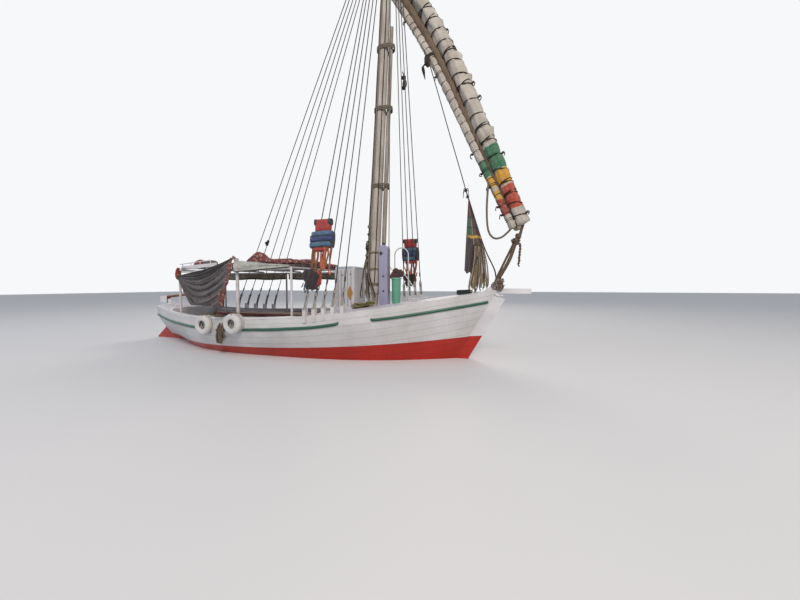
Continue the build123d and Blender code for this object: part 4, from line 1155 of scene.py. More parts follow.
curtain = {
    # Corners as x and z, then the folds that fan out from the two that are tied up
    "fore": (-0.690, 1.745, 0), "aft": (-2.440, 1.450, 0), "lowFore": (-1.010, 0.860, 0), "lowest": 0.862,
    "folds": 8.5, "depth": 0.026,
    # Each tie: where it holds the cloth in x and z, the knot's size and the post that it goes to
    "ties": ((-0.675, 1.750, 0.030, (-0.65, -0.93, 1.760)), (-2.445, 1.462, 0.028, (-2.48, -0.63, 1.502))),
}


def buildCurtain():
    # A bed cover tied up by two corners, so its folds fan out from both and hang in bows between them
    fore, aft, lowFore = (Vector(curtain[key]) for key in ("fore", "aft", "lowFore"))

    def place(u, v):
        rightEnd = fore.lerp(lowFore, max(0.0, (v - 0.30) / 0.70) ** 1.15)
        flat = rightEnd.lerp(aft + Vector((0.02 * v, -0.05 * v, 0)), u)
        # A slack line sags most a little nearer its lower end
        bow = math.sin(math.pi * min(1.0, u ** 0.85)) * (0.05 + 0.50 * v ** 1.2)
        flat.y -= bow * (1 - 0.25 * v * (1 - u))
        flat.x += 0.07 * bow * (1 - 2 * u)
        flat.y = max(flat.y, curtain["lowest"])
        spread = max(min(1.0, 3.2 * u) * min(1.0, 3.0 * (1 - u)) if v < 0.98 else 0.4, 0.25)
        phase = fullTurn * (curtain["folds"] * v ** 0.9 + 0.35 * math.sin(u * 4.0 + 1) + 0.12 * math.sin(u * 9))
        fold = math.sin(phase) + 0.35 * math.sin(2.3 * phase + 1.0 + 3 * u)
        deep = curtain["depth"] * spread * fold + 0.020 * spread * noise.noise((u * 7, v * 16, 4.0))
        deep += 0.007 * noise.noise((u * 26 + v * 9, v * 34, 1.0))
        return (flat.x, curtainSide(flat.x) - 0.012 + deep, flat.y)

    def strip(u, v):
        end = fore.lerp(lowFore, v)
        x = end.x + (u - 0.4) * (0.045 + 0.02 * math.sin(v * 7)) * 1.6
        wave = 0.014 * math.sin(v * 23 + u * 3) + 0.010 * noise.noise((u * 5, v * 12, 9.0))
        return (x, curtainSide(x) - 0.020 + wave, end.y + 0.03 * (0.5 - u) - 0.006)

    piece = sheetPiece("awning_side_curtain", [(120, 110, place, 0.003, (1.9, 1.35))], curtainGrey,
                       "awning_curtain")
    trim = sheetPiece("curtain_edge_print", [(80, 10, strip, 0.003, (0.1, 1.0))], edgeFloral)
    knots = emptyBag()
    for x, z, size, post in curtain["ties"]:
        spot = (x, curtainSide(x) + 0.02, z)
        ropeKnot(knots, spot, size, 0.009, int(x * -10))
        ropeRun(knots, [spot, post], 0.007, 4, 6)
    makePiece("curtain_ties", knots, [paleRope], "hull")
    gathered = emptyBag()
    lumpInto(gathered, (-1.02, curtainSide(-1.02) - 0.005, 1.02), (0.05, 0.045, 0.16), 6.3, 0.3, 7)
    makePiece("curtain_edge_bunch", gathered, [edgeFloral], "hull")


gusset = {
    # Along the rail from its aft end, then the line of its top edge, its foot and its hem
    "aft": -0.640, "length": 1.230, "top": 1.735, "fall": 0.150, "foot": 1.500, "footRise": 0.060, "hem": 0.011,
    "cloth": (26, 70), "thick": 0.003, "flat": (1.25, 0.24), "area": 0.16,
}


def buildGusset():
    # The pale three-cornered cloth between the roof's raised corner and the rail, with a dark hem
    def place(u, v):
        x = gusset["aft"] + gusset["length"] * u
        high = gusset["top"] - gusset["fall"] * u ** 0.55 - 0.006 * math.sin(u * 12)
        low = gusset["foot"] + gusset["footRise"] * u
        wave = 0.012 * math.sin(v * 8 + u * 5) * (1 - 0.6 * u) + 0.008 * noise.noise((u * 8, v * 5, 3.0))
        return (x, curtainSide(x) - 0.012 + wave, high + (low - high) * v + 0.010 * math.sin(math.pi * u) * (1 - v))

    piece = sheetPiece("awning_front_gusset", [(*gusset["cloth"], place, gusset["thick"], gusset["flat"])],
                       gussetPale, replaces="awning_gusset")
    hem = emptyBag()
    tubeInto(hem, [Vector(place(k / 25, 1.0)) + Vector((0, -0.004, -0.006)) for k in range(26)], gusset["hem"], 6)
    makePiece("gusset_hem", hem, [hemDarkAndShade], "hull")


valance = {
    # Each length of cloth: aft end, fore end and seed
    "lengths": ((-2.44, -0.94, 0.0), (-0.86, 0.52, 5.0)), "out": 0.030, "hem": 0.016, "cloth": (12, 70),
    "thick": 0.003, "flat": (2.9, 0.16),
}


def buildValance():
    # Two lengths of canvas laced to the port rail, with a dark hem along the foot whose dark colour is painted shade of
    # the lower edge
    hem = emptyBag()
    sheets = []
    low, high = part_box("awning_valance")
    for start, end, seed in valance["lengths"]:
        def place(u, v, start=start, end=end, seed=seed):
            x = start + (end - start) * u
            drop = (high[2] - low[2]) * (0.96 + 0.05 * math.sin(u * 11 + seed))
            wave = 0.010 * math.sin(u * 31 + seed + v) * (0.3 + v) + 0.008 * noise.noise((u * 9, v * 3, seed))
            return (x, railSide("portRail", x) + valance["out"] + wave, high[2] - drop * v)

        sheets.append((*valance["cloth"], place, valance["thick"], (1.5, 0.16)))
        # The dark hem tube near the foot stands for painted shade under the valance's lower edge
        tubeInto(hem, [place(k / 40, 0.93) for k in range(41)], valance["hem"], 6)
    piece = sheetPiece("awning_port_valance", sheets, valanceOlive, replaces="awning_valance")
    makePiece("valance_hem_painted_shade", hem, [hemDarkAndShade], "hull")


def beddingRoll(bag, start, end, wide, tall, hump, count=84, columns=40):
    # A roll of printed bedding laid on the roof from start to end; hump is its share, height and spread
    start, end = Vector(start), Vector(end)
    along = (end - start).normalized()
    across = Vector((-along.y, along.x, 0))
    rows = []
    for r in range(count):
        share = r / (count - 1)
        run = share * (end - start).length + start.x
        high = tall * (1 - 0.12 * share) + hump[1] * math.exp(-((share - hump[0]) / hump[2]) ** 2)
        close = min(1.0, (share + 0.015) / 0.10) ** 0.5 * min(1.0, (1.015 - share) / 0.10) ** 0.5
        for c in range(columns):
            angle = fullTurn * c / columns
            fold = 0.07 * math.sin(3 * angle + run * 11) + 0.05 * math.sin(7 * angle - run * 23)
            fold += 0.20 * noise.noise((run * 9, math.cos(angle) * 1.6, math.sin(angle) * 1.6))
            fold += 0.09 * noise.noise((run * 30, math.cos(angle) * 4, math.sin(angle) * 4))
            swell = (1 + fold) * close
            rows.append(start.lerp(end, share) + across * math.cos(angle) * wide * swell
                        + upward * (0.004 + high * 0.92 * (1 + math.sin(angle) * min(1.05, swell))))
    addToBag(bag, rows, barFaces(count, columns), 0, [(c / columns, r / count) for r in range(count)
                                                      for c in range(columns)])


def buildRoofBundles():
    # Bedding rolled up on the roof: printed rolls along two of its sides, and small bundles aft
    bag = emptyBag()
    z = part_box("awning_roof")[1][2]
    beddingRoll(bag, (-0.66, -0.63, z), (0.46, -0.745, z), 0.098, 0.072, (0.27, 0.075, 0.15))
    beddingRoll(bag, (0.34, -0.66, z), (0.47, 0.76, z), 0.085, 0.062, (0.35, 0.02, 0.2))
    lumpInto(bag, (-1.00, -0.66, z + 0.035), (0.13, 0.07, 0.040), 3.0, 0.25, 6, 0, 22, 30, 0, 0.4)
    lumpInto(bag, (-0.78, -0.70, z + 0.050), (0.15, 0.09, 0.055), 5.0, 0.25, 6, 0, 22, 30, 0, 0.4)
    makePiece("roof_bedding_roll", bag, [roofFloral], "hull", replaces="roof_bundles")
    aft = emptyBag()
    lumpInto(aft, (-2.06, -0.46, z + 0.085), (0.145, 0.085, 0.090), 1.0, 0.2, 6, 0, 24, 34, 0.1, 0.15)
    lumpInto(aft, (-1.80, -0.46, z + 0.085), (0.17, 0.085, 0.088), 2.0, 0.2, 6, 1, 24, 34, 0.1, 0.15)
    lumpInto(aft, (-2.47, -0.64, 1.49), (0.05, 0.05, 0.12), 6.0, 0.3, 7, 0, 20, 28)
    makePiece("roof_small_bundles", aft, [bundleRed, bundleGrey], "hull")


def buildRoofBoard():
    # A white board on edge along the roof's aft side, with a thin handrail above it on short uprights
    bag = emptyBag()
    start, end = Vector((-2.43, -0.590, 1.575)), Vector((-1.25, -0.795, 1.60))
    side = Vector((end.y - start.y, start.x - end.x, 0)).normalized() * 0.010
    corners = []
    for spot, tall in ((start, 0.075), (end, 0.085)):
        corners += [spot + side, spot + side + upward * tall, spot - side + upward * tall, spot - side]
    addToBag(bag, corners, barFaces(2, 4))
    tubeInto(bag, smoothPath([start + Vector((-0.04, 0, 0.115)), start.lerp(end, 0.5) + upward * 0.135,
                              start.lerp(end, 0.86) + upward * 0.140], 8), 0.009)
    for share in (0.03, 0.28, 0.55, 0.84):
        spot = start.lerp(end, share)
        tubeInto(bag, [spot + upward * 0.02, spot + upward * 0.130], 0.007)
    makePiece("roof_edge_board", bag, [trimPaint], "hull", False)


for build in (buildRoof, buildCurtain, buildGusset, buildValance, buildRoofBundles, buildRoofBoard):
    build()
print("awning")


# Deck gear, fenders and rigging trim

def carrierTree(*names):
    # The surfaces of the named solids, for setting loose gear down on them
    points, faces = [], []
    for name in names:
        start = len(points)
        mesh = nodes[name].data
        points += [v.co.copy() for v in mesh.vertices]
        faces += [tuple(start + i for i in poly.vertices) for poly in mesh.polygons]
    return BVHTree.FromPolygons(points, faces)


deckTree = carrierTree("foredeck", "hull_topsides", "stern_deck")


def deckAt(x, y, fallback=1.0):
    hit = deckTree.ray_cast(Vector((x, y, 3.0)), -upward)
    return hit[0].z if hit[0] else fallback


def sightIn(tree, x, z, side, reach=4.0):
    # Where a line of sight from outboard, square to the keel, first meets the hull
    return tree.ray_cast(Vector((x, side * 3.0, z)), Vector((0, -side, 0)), reach)[0]


def sideAt(x, z, side):
    hit = sightIn(deckTree, x, z, side)
    return hit.y if hit else side * 1.1


tread = {
    # Blocks round each tyre in two lanes, sloping down to the sidewall
    "tyres": ((-0.400, 0.600, 1), (-1.160, 0.545, 2)), "blocks": 44, "lane": 0.0165, "radius": 0.1697,
    "slope": math.radians(18.4), "skew": 0.085, "size": (0.0155, 1.0, 0.0285), "thick": 0.0095,
}


def buildFenderTrim():
    # Tread blocks on the painted tyres, and the rope that each hangs by
    blocks = []
    ropes = emptyBag()
    lean = tread["slope"]
    for x, z, seed in tread["tyres"]:
        near = [v.co.y for v in nodes["fenders"].data.vertices if (v.co.x - x) ** 2 + (v.co.z - z) ** 2 < 0.18 ** 2]
        middle = (min(near) + max(near)) / 2
        for k in range(tread["blocks"]):
            for lane in (-1, 1):
                turn = (2 * k + lane * 0.5) * math.pi / tread["blocks"]
                outward = Vector((math.cos(turn), 0, math.sin(turn)))
                forward = Vector((-math.sin(turn), 0, math.cos(turn)))
                centre = Vector((x, middle + lane * tread["lane"], z)) + outward * tread["radius"]
                axis = Vector((0, lane * math.cos(lean), 0)) - outward * math.sin(lean) + forward * tread["skew"]
                blocks.append((centre, axis, forward, tread["size"]))
        for shift in (-0.012, 0.010):
            turns = [fullTurn * i / 16 for i in range(17)]
            tubeInto(ropes, [(x + shift + 0.016 * math.cos(t), middle + 0.062 * math.sin(t),
                              z + 0.125 + 0.058 * math.cos(t)) for t in turns], 0.008, 6)
        ropeKnot(ropes, (x, middle - 0.01, z + 0.192), 0.022, 0.008, seed)
        front = min(near) + 0.02
        ropeRun(ropes, [(x + 0.01, front, z + 0.19), (x + 0.03, front - 0.01, z + 0.13), (x + 0.02, front, z + 0.07)],
                0.007, 6)
    repeatOn("fender_treads", "block", blocks, tread["thick"], fenderPaint, "hull")
    makePiece("fender_ropes", ropes, [greyRope], "hull")


def buildSideRopes():
    # A hank of brown line dropped over the gunwale between the fenders
    picker = random.Random(31)
    bag = emptyBag()
    for k in range(15):
        x = -0.86 + 0.15 * picker.random()
        top = deckAt(x, -1.02, 0.70)
        over = min(sideAt(x, 0.60, -1), sideAt(x, 0.66, -1)) - 0.020 - 0.030 * picker.random()
        low = picker.uniform(0.42, 0.56)
        inner = (x + picker.uniform(-0.03, 0.03), -0.93 - 0.05 * picker.random(), top + 0.02 * picker.random())
        rise = picker.uniform(0.04, 0.15)
        middle = (top + low) / 2
        path = [inner, (x - 0.02, over + 0.12, top + rise), (x + 0.01, over + 0.05, top + rise * 0.8),
                (x, over, top - 0.04), (x + picker.uniform(-0.03, 0.03), over - 0.008, middle),
                (x + picker.uniform(-0.02, 0.02), over, low), (x + 0.03, over - 0.012, low - 0.012),
                (x + 0.045, over, low + 0.05), (x + 0.040, over - 0.006, middle + 0.03)]
        ropeRun(bag, path, 0.0085 * picker.uniform(0.8, 1.2), 6, 6, k % 2)
    wrapTurns(bag, (-0.785, sideAt(-0.785, 0.62, -1) - 0.035, 0.72), (0.1, 0, 1), (0.085, 0.035), 0.018, 2.0, 0.009)
    makePiece("side_rope_hank", bag, [tackleRope, greyRope], "hull")


mastRope = {
    # Halyards: bearing from the bow, foot, head, thickness and slot
    "halyards": ((-2.25, 1.13, 8.15, 0.011, 0), (-2.05, 1.05, 6.4, 0.010, 1), (-2.45, 1.10, 2.35, 0.013, 1),
                 (-1.05, 1.30, 8.10, 0.009, 0)),
    "fall": [(1.975, -0.06, 1.06), (1.99, -0.07, 2.6), (2.02, -0.09, 5.4), (2.045, -0.10, 8.12)],
    # Knots: height, size and slot
    "knots": ((2.32, 0.030, 1), (2.18, 0.022, 0), (2.02, 0.045, 1), (1.94, 0.050, 0), (1.80, 0.040, 1),
              (1.70, 0.038, 1)),
    # Lashings: height and turns. Those above poleFoot go round the forward pole too
    "lashings": ((1.28, 3.0), (1.56, 2.0), (1.86, 2.0), (3.05, 3.0), (4.40, 3.0), (5.45, 3.0)),
    "poleFoot": 2.2,
}


def mastRadius(z):
    return 0.105 - (z - 0.6) / 8.05 * 0.035


def mastSpot(z, angle, reach):
    # A point off the mast's surface at a height, by bearing from the bow
    radius = mastRadius(z) + reach
    return Vector((1.640 + (z - 1.070) * 0.05241 + math.cos(angle) * radius, math.sin(angle) * radius, z))


def buildMastRopes():
    # Halyards made fast at the mast's foot, their knots and falls, and the turns round mast, post and poles
    picker = random.Random(12)
    bag = emptyBag()
    for lean, low, high, thick, slot in mastRope["halyards"]:
        path = []
        for k in range(14):
            slack = 0.035 * (1 - k / 13) ** 2 + 0.010 * noise.noise((k * 0.8, lean, 0))
            path.append(mastSpot(low + (high - low) * k / 13, lean, 0.014 + slack))
        ropeRun(bag, path, thick, 4, 6, slot)
    ropeRun(bag, mastRope["fall"], 0.008, 8, 6, 1)
    for z, size, slot in mastRope["knots"]:
        ropeKnot(bag, mastSpot(z, -2.3 + 0.1 * math.sin(z * 9), 0.045), size, 0.011, int(z * 100), slot)
    for k in range(7):
        start = mastSpot(picker.uniform(1.7, 2.0), -2.3 - 0.12 * k, 0.05)
        foot = Vector((1.47 + 0.045 * k * picker.uniform(0.8, 1.2), -0.14 - 0.06 * picker.random(), 1.12))
        middle = start.lerp(foot, 0.5) + Vector((-0.045 * picker.random(), -0.03 * picker.random(), 0))
        ropeRun(bag, [start, middle, foot, foot + Vector((0.02, -0.02, -0.09))], 0.010, 7, 6, k % 2)
    for z, turns in mastRope["lashings"]:
        centre = mastSpot(z, 0, -0.105)
        radius = mastRadius(z) + 0.012
        if z < mastRope["poleFoot"]:
            wrapTurns(bag, centre, (0.052, 0, 1), (radius, radius), 0.020, turns, 0.0075, 2)
            continue
        path = []
        for i in range(int(turns * 22) + 1):
            a = fullTurn * i / 22
            stretch = 0.128 * max(0.0, math.cos(a)) ** 0.7
            path.append(centre + Vector((math.cos(a) * radius + stretch, math.sin(a) * radius,
                                         (i / 22 - turns / 2) * 0.024)))
        tubeInto(bag, path, 0.011, 6, 1)
    makePiece("mast_ropes", bag, [darkRope, greyRope, paleRope], "hull")


mastPile = {"seed": 44, "loops": 22, "middle": (1.56, -0.27), "width": (0.05, 0.12), "radius": 0.0095, "rise": 0.0035}


def buildMastPile():
    # Line dropped in a heap at the mast's foot
    draw = random.Random(mastPile["seed"]).uniform
    bag = emptyBag()
    for k in range(mastPile["loops"]):
        middle = Vector((mastPile["middle"][0] + draw(-0.12, 0.16), mastPile["middle"][1] + draw(-0.07, 0.06), 0))
        middle.z = deckAt(middle.x, middle.y) + 0.012 + mastPile["rise"] * k
        wide = draw(*mastPile["width"])
        tilt = draw(0, 6)
        path = []
        for a in (i * 0.62 + tilt for i in range(13)):
            r = wide * (1 + 0.25 * math.sin(a * 1.7 + k))
            path.append(middle + Vector((math.cos(a) * r, math.sin(a) * r * 0.6, 0.006 * math.sin(a * 3 + k))))
        ropeRun(bag, path, mastPile["radius"], 3, 6, k % 2)
    makePiece("rope_pile", bag, [paleRope, oliveRope], "hull")


stays = {
    # Each set: the side that it stands on and where its chain plates are along the hull
    "head": Vector((2.01, 0.09, 8.21)),
    "sets": {"shrouds_starboard": (-1, (1.50, 1.35, 1.20, 1.05, 0.90)), "shrouds_port": (1, (2.40, 2.27, 2.14, 2.01)),
             "backstays": (1, (-1.50, -1.72, -1.94, -2.16, -2.38))},
}


def buildLanyards():
    # Rope lanyards at the shrouds' feet: several turns between the chain plate and an eye in the wire
    bag = emptyBag()
    wires = emptyBag()
    for node, (side, plates) in stays["sets"].items():
        mesh = nodes[node].data
        mesh.materials.append(whiteIron)
        head = Vector((stays["head"].x, side * stays["head"].y, stays["head"].z))
        for plate in plates:
            near = [v.co for v in mesh.vertices if abs(v.co.x - plate) < 0.031 and v.co.z < 2.0]
            topZ = max(p.z for p in near)
            rim = [p.y for p in near if p.z > topZ - 0.03]
            foot = Vector((plate, sum(rim) / len(rim), topZ - 0.02))
            for polygon in mesh.polygons:
                if abs(polygon.center.x - plate) < 0.035 and polygon.center.z < topZ + 0.002:
                    polygon.material_index = 1
            way = (head - foot).normalized()
            eye = foot + way * 0.30
            for shift in (-0.016, 0.0, 0.016):
                ropeRun(bag, [foot + Vector((shift, 0.010 * side, -0.07)),
                              foot + way * 0.12 + Vector((shift * 1.3, 0.006 * side, 0)),
                              eye + Vector((shift * 0.6, 0, 0.0))], 0.0075, 4, 6)
            wrapTurns(bag, foot + way * 0.24, way, (0.022, 0.022), 0.012, 4.0, 0.0065)
            ropeKnot(bag, foot + way * 0.02 + Vector((0, 0.02 * side, 0)), 0.026, 0.008, int(plate * 97) % 90)
            wrapTurns(wires, eye + way * 0.12, way, (0.0125, 0.0125), 0.008, 9.0, 0.0035)
    makePiece("shroud_lanyards", bag, [whiteLine], "hull")
    makePiece("shroud_seizings", wires, [wireSteel], "hull")


def buildPortBlock():
    # A wooden block slung on the port shrouds
    foot, head = Vector((2.14, 1.03, 0.95)), stays["head"]
    spot = foot.lerp(head, (5.15 - foot.z) / (head.z - foot.z))
    bag = emptyBag()
    lumpInto(bag, spot + Vector((0.03, 0.05, 0)), (0.045, 0.030, 0.085), 8.0, 0.02, 2, 0, 20, 26)
    for rise, radius in ((0.10, 0.040), (-0.09, 0.036)):
        wrapTurns(bag, spot + Vector((0.015, 0.03, rise)), (0, 0, 1), (radius, 0.034), 0.016, 2.5, 0.009, 1)
    ropeRun(bag, stepsFrom(spot, (0.03, 0.05, 0.08), (0.02, 0.02, 0.15), (0, 0, 0.2)), 0.010, 5, 6, 1)
    makePiece("shroud_block", bag, [blackIron, darkRope], "hull")


def buildStayWrap():
    # Old line tied round one backstay
    start = Vector((-2.16, 0.80, 0.75))
    way = (stays["head"] - start).normalized()
    middle = start + way * (1.5 / way.z)
    bag = emptyBag()
    wrapTurns(bag, middle, way, (0.020, 0.020), 0.020, 6.0, 0.012)
    ropeKnot(bag, middle + Vector((-0.03, 0, 0.0)), 0.032, 0.011, 71)
    makePiece("backstay_wrap", bag, [darkRope], "hull")


def buildSailTie():
    # The dark bundle of furling line tied to the aft roll below the masthead, with its hanging ends
    row = min(rollLine(sailRolls["aft"]), key=lambda r: abs(r["centre"].z - 5.35))
    spot = row["centre"] - row["off"] * row["radius"] * 0.9
    bag = emptyBag()
    lumpInto(bag, spot, (0.055, 0.05, 0.13), 4.0, 0.25, 6, 0, 20, 26)
    for k in range(5):
        ropeRun(bag, stepsFrom(spot + Vector((-0.02, -0.02 + 0.01 * k, -0.06)), (0, 0, 0),
                               (-0.05 - 0.01 * k, 0, -0.05), (-0.03, 0, -0.14 - 0.03 * k)), 0.009, 6, 6)
    wrapTurns(bag, row["centre"], row["along"], (row["radius"] * 1.05, row["radius"] * 1.05), 0.02, 3.0, 0.011)
    makePiece("sail_tie_bundle", bag, [darkRope], "yard")


for build in (buildFenderTrim, buildSideRopes, buildMastRopes, buildMastPile, buildLanyards, buildPortBlock,
              buildStayWrap, buildSailTie):
    build()
print("ropes and fenders")


coil = {
    # Turns of the mooring line laid down on the foredeck, from the outside in and up
    "turns": 5, "points": 9, "outside": 0.122, "inside": 0.086, "diameter": 0.026,
    "tail": [(0.60, 0.076, 0.002), (1.35, 0.064, 0.012), (2.15, 0.056, 0.028)],
}


def buildCoil():
    low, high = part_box("deck_coil")
    middle = (Vector(low) + Vector(high)) / 2
    draw = random.Random(61).uniform
    points = []
    count = coil["turns"] * coil["points"]
    for k in range(count + 1):
        layer = k / coil["points"]
        radius = coil["inside" if int(layer) % 2 else "outside"] * draw(0.95, 1.08)
        x = middle.x + math.cos(fullTurn * layer) * radius
        y = middle.y + math.sin(fullTurn * layer) * radius
        points.append((x, y, high[2] - 0.052 + 0.0125 * layer - 0.042 * (middle.x - x) + draw(-0.002, 0.002)))
    for turn, radius, drop in coil["tail"]:
        points.append((middle.x + math.cos(turn) * radius, middle.y + math.sin(turn) * radius, points[count][2] - drop))
    piece = cordCurve("mooring_coil", points, coil["diameter"], greenRope, "hull")
    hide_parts("deck_coil")


buildCoil()
print("coil")


# Cushions

cushions = {
    "parts": 3, "gap": 0.010, "voxel": 0.013, "shrink": 0.008, "cap": 0.016, "frames": 16, "pitch": 0.11,
    # Where each stripe starts and ends in one repeat, and its colour
    "stripes": [(0.0, 0.46, "#7c3a34"), (0.48, 0.60, "#b9a488"), (0.62, 0.74, "#2f4a5c"), (0.76, 0.84, "#b9a488"),
                (0.86, 1.0, "#7c3a34")],
    "seams": (0.333, 0.667),
}


def stripedCloth():
    # Handwoven cotton cover: broad stripes along the bench, a coarse weave, worn pale on top
    material, tree = startMaterial("cushionStripedCotton")
    part = addNode(tree, "SeparateXYZ", {0: surfacePlace(tree)}, 1)
    part = addNode(tree, "Math", {"operation": "DIVIDE", 0: part, 1: cushions["pitch"]})
    part = addNode(tree, "Math", {"operation": "FRACT", 0: part})
    stops = [(place, colour) for start, end, colour in cushions["stripes"] for place in (start, end)]
    colour = addNode(tree, "ValToRGB", {"Fac": part, "stops": stops})
    colour = tint(tree, colour, grain(tree, 0.18, 5), "#9c8b7b", [(0.45, 0.0), (0.8, 0.5)])
    return endMaterial(material, {"Base Color": colour, "Roughness": 0.9, "Sheen Weight": 0.25},
                       (grain(tree, 0.006, 2, stretch=(1, 3, 1)), 0.002, 0.6))


def swellPad(piece):
    # Blows the cover up as cloth, holds each point within the cap, and keeps the result on the mesh
    cloth = piece.modifiers.new("cover", "CLOTH")
    settings = cloth.settings
    settings.use_pressure = True
    settings.uniform_pressure_force = 4.0
    settings.effector_weights.gravity = 0.0
    settings.quality = 4
    settings.mass = 0.3
    cloth.point_cache.frame_end = cushions["frames"]
    for number in range(1, cushions["frames"] + 1):
        scene.frame_set(number)
    blown = piece.evaluated_get(bpy.context.evaluated_depsgraph_get()).data
    ends = [v.co.copy() for v in blown.vertices]
    piece.modifiers.remove(cloth)
    for vertex, end in zip(piece.data.vertices, ends):
        move = end - vertex.co
        vertex.co += move * min(1.0, cushions["cap"] / max(move.length, 1e-9))
    piece.data.update()
    scene.frame_set(1)


def cushionMesh(name, source, cuts):
    # A part of the solid cushions, between the cuts and closed over them
    shape = bmesh.new()
    shape.from_mesh(source)
    bmesh.ops.remove_doubles(shape, verts=shape.verts, dist=0.00005)
    for spot, way in cuts:
        geometry = shape.verts[:] + shape.edges[:] + shape.faces[:]
        cut = bmesh.ops.bisect_plane(shape, geom=geometry, plane_co=spot, plane_no=way, clear_outer=True)
        rim = [edge for edge in cut["geom_cut"] if isinstance(edge, bmesh.types.BMEdge)]
        if rim:
            bmesh.ops.holes_fill(shape, edges=rim, sides=0)
    mesh = bpy.data.meshes.new(name)
    shape.to_mesh(mesh)
    shape.free()
    return mesh


def buildCushion(name, start, end, side, finish):
    source = nodes["bench_cushions"].data
    cuts = (((start, 0, 0), (-1, 0, 0)), ((end, 0, 0), (1, 0, 0)), ((0, 0.05 * side, 0), (0, -side, 0)))
    piece = linkObject(name, cushionMesh(name, source, cuts))
    remesh = piece.modifiers.new("even", "REMESH")
    remesh.mode = "VOXEL"
    remesh.voxel_size = cushions["voxel"]
    even = bakedMesh(piece)
    piece.modifiers.clear()
    piece.data = even
    even.name = name
    for vertex, normal in [(v, v.normal.copy()) for v in even.vertices]:
        vertex.co -= normal * cushions["shrink"]
    even.update()
    swellPad(piece)
    bottom = min(v.co.z for v in source.vertices) + 0.0005
    for vertex in even.vertices:
        if vertex.co.z > bottom + 0.04:
            for share in cushions["seams"]:
                seam = start + (end - start) * share
                vertex.co.z -= 0.012 * math.exp(-((vertex.co.x - seam) / 0.016) ** 2)
        vertex.co.z = max(vertex.co.z, bottom)
    even.materials.clear()
    even.materials.append(finish)
    even.polygons.foreach_set("use_smooth", [True] * len(even.polygons))
    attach(piece, "hull")
    return piece


def buildCushions():
    along = [v.co.x for v in nodes["bench_cushions"].data.vertices]
    low, high = min(along), max(along)
    length = (high - low) / cushions["parts"]
    finish = stripedCloth()
    for side, name in ((-1, "starboard"), (1, "port")):
        for k in range(cushions["parts"]):
            start = low + length * k + cushions["gap"] / 2
            end = low + length * (k + 1) - cushions["gap"] / 2
            buildCushion(f"bench_cushion_{name}_{k + 1}", start, end, side, finish)
    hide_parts("bench_cushions")


buildCushions()
print("cushions")


# Hull, deck and cabinet trim

profiles = {
    # Corners of each bar's section as shifts along, outboard and up
    "frame": ((-0.022, 0.004, 0), (0.022, 0.004, 0), (0.020, -0.030, 0), (-0.020, -0.030, 0)),
    "stringer": ((0, 0.006, -0.055), (0, 0.006, -0.010), (0, -0.020, -0.010), (0, -0.020, -0.055)),
    "strap": ((0, -0.002, -0.020), (0, 0.006, -0.020), (0, 0.006, 0.020), (0, -0.002, 0.020)),
    "cap": ((0, 0.014, -0.020), (0, 0.014, 0.010), (0, -0.066, 0.012), (0, -0.066, -0.006)),
}


def sectionAt(profile, x, y, z, side):
    return [(x + along, y + side * out, z + rise) for along, out, rise in profiles[profile]]


def barInto(bag, rows, slot=0):
    # A closed bar whose corners are given along its run
    addToBag(bag, [corner for row in rows for corner in row], barFaces(len(rows), len(rows[0])), slot)


ribs = {"count": 15, "aft": -2.72, "length": 3.52, "foot": 0.585, "step": 0.03, "steps": 12, "outermost": 1.3}


def buildRibs():
    # Sawn frames on the inside of the cockpit's bulwark, with the stringer that ties their heads
    bag = emptyBag()
    for side in (-1, 1):
        heads = []
        for k in range(ribs["count"]):
            x = ribs["aft"] + ribs["length"] * k / (ribs["count"] - 1)
            rows = []
            for z in (ribs["foot"] + ribs["step"] * i for i in range(ribs["steps"])):
                hit = deckTree.ray_cast(Vector((x, side * 0.30, z)), Vector((0, side, 0)))[0]
                if not hit or abs(hit.y) > ribs["outermost"]:
                    break
                rows.append(sectionAt("frame", x, hit.y, z, side))
            if len(rows) > 2:
                barInto(bag, rows)
                heads.append(sectionAt("stringer", x, *rows[-1][2][1:], side))
        if len(heads) > 2:
            barInto(bag, heads)
    makePiece("cockpit_frames", bag, [trimPaint], "hull", False)


soleBoards = {
    "seed": 17, "starboard": -0.56, "port": 0.50, "width": (0.105, 0.125), "length": (1.1, 1.7), "gap": 0.008,
    "endGap": 0.006, "thick": 0.012,
}


def buildSoleBoards():
    # Loose boards laid over the cockpit's sole, fore and aft, with narrow gaps between them
    tree = carrierTree("cockpit_sole")
    low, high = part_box("cockpit_sole")
    bag = emptyBag()
    draw = random.Random(soleBoards["seed"]).uniform
    y = soleBoards["starboard"]
    while y < soleBoards["port"]:
        wide = draw(*soleBoards["width"])
        start = low[0] + 0.04 + draw(0, 0.03)
        while start < high[0] - 0.5:
            end = min(start + draw(*soleBoards["length"]), high[0] - 0.02)
            rows = []
            for x in (start + (end - start) * k / 8 for k in range(9)):
                hits = [tree.ray_cast(Vector((x, edge, 3.0)), -upward)[0] for edge in (y, y + wide)]
                if None not in hits:
                    under = max(hit.z for hit in hits) - 0.002
                    over = under + 0.002 + soleBoards["thick"]
                    rows.append([(x, y, under), (x, y, over), (x, y + wide, over), (x, y + wide, under)])
            if len(rows) > 3:
                barInto(bag, rows)
            start = end + soleBoards["endGap"]
        y += wide + soleBoards["gap"]
    makePiece("sole_boards", bag, [solePaint], "hull", False)


cabinet = {
    "seams": 6, "lozenge": (0.062, 0.135), "corner": 0.05,
    # The cap's rounded edge as height and how far it stands out
    "edge": ((0.0, -0.010), (0.010, 0.000), (0.030, 0.006), (0.045, 0.004), (0.055, -0.008), (0.057, -0.05)),
}


def blockInto(bag, a, b, slot=0):
    barInto(bag, [[(a[0], a[1], z), (b[0], a[1], z), (b[0], b[1], z), (a[0], b[1], z)] for z in (a[2], b[2])], slot)


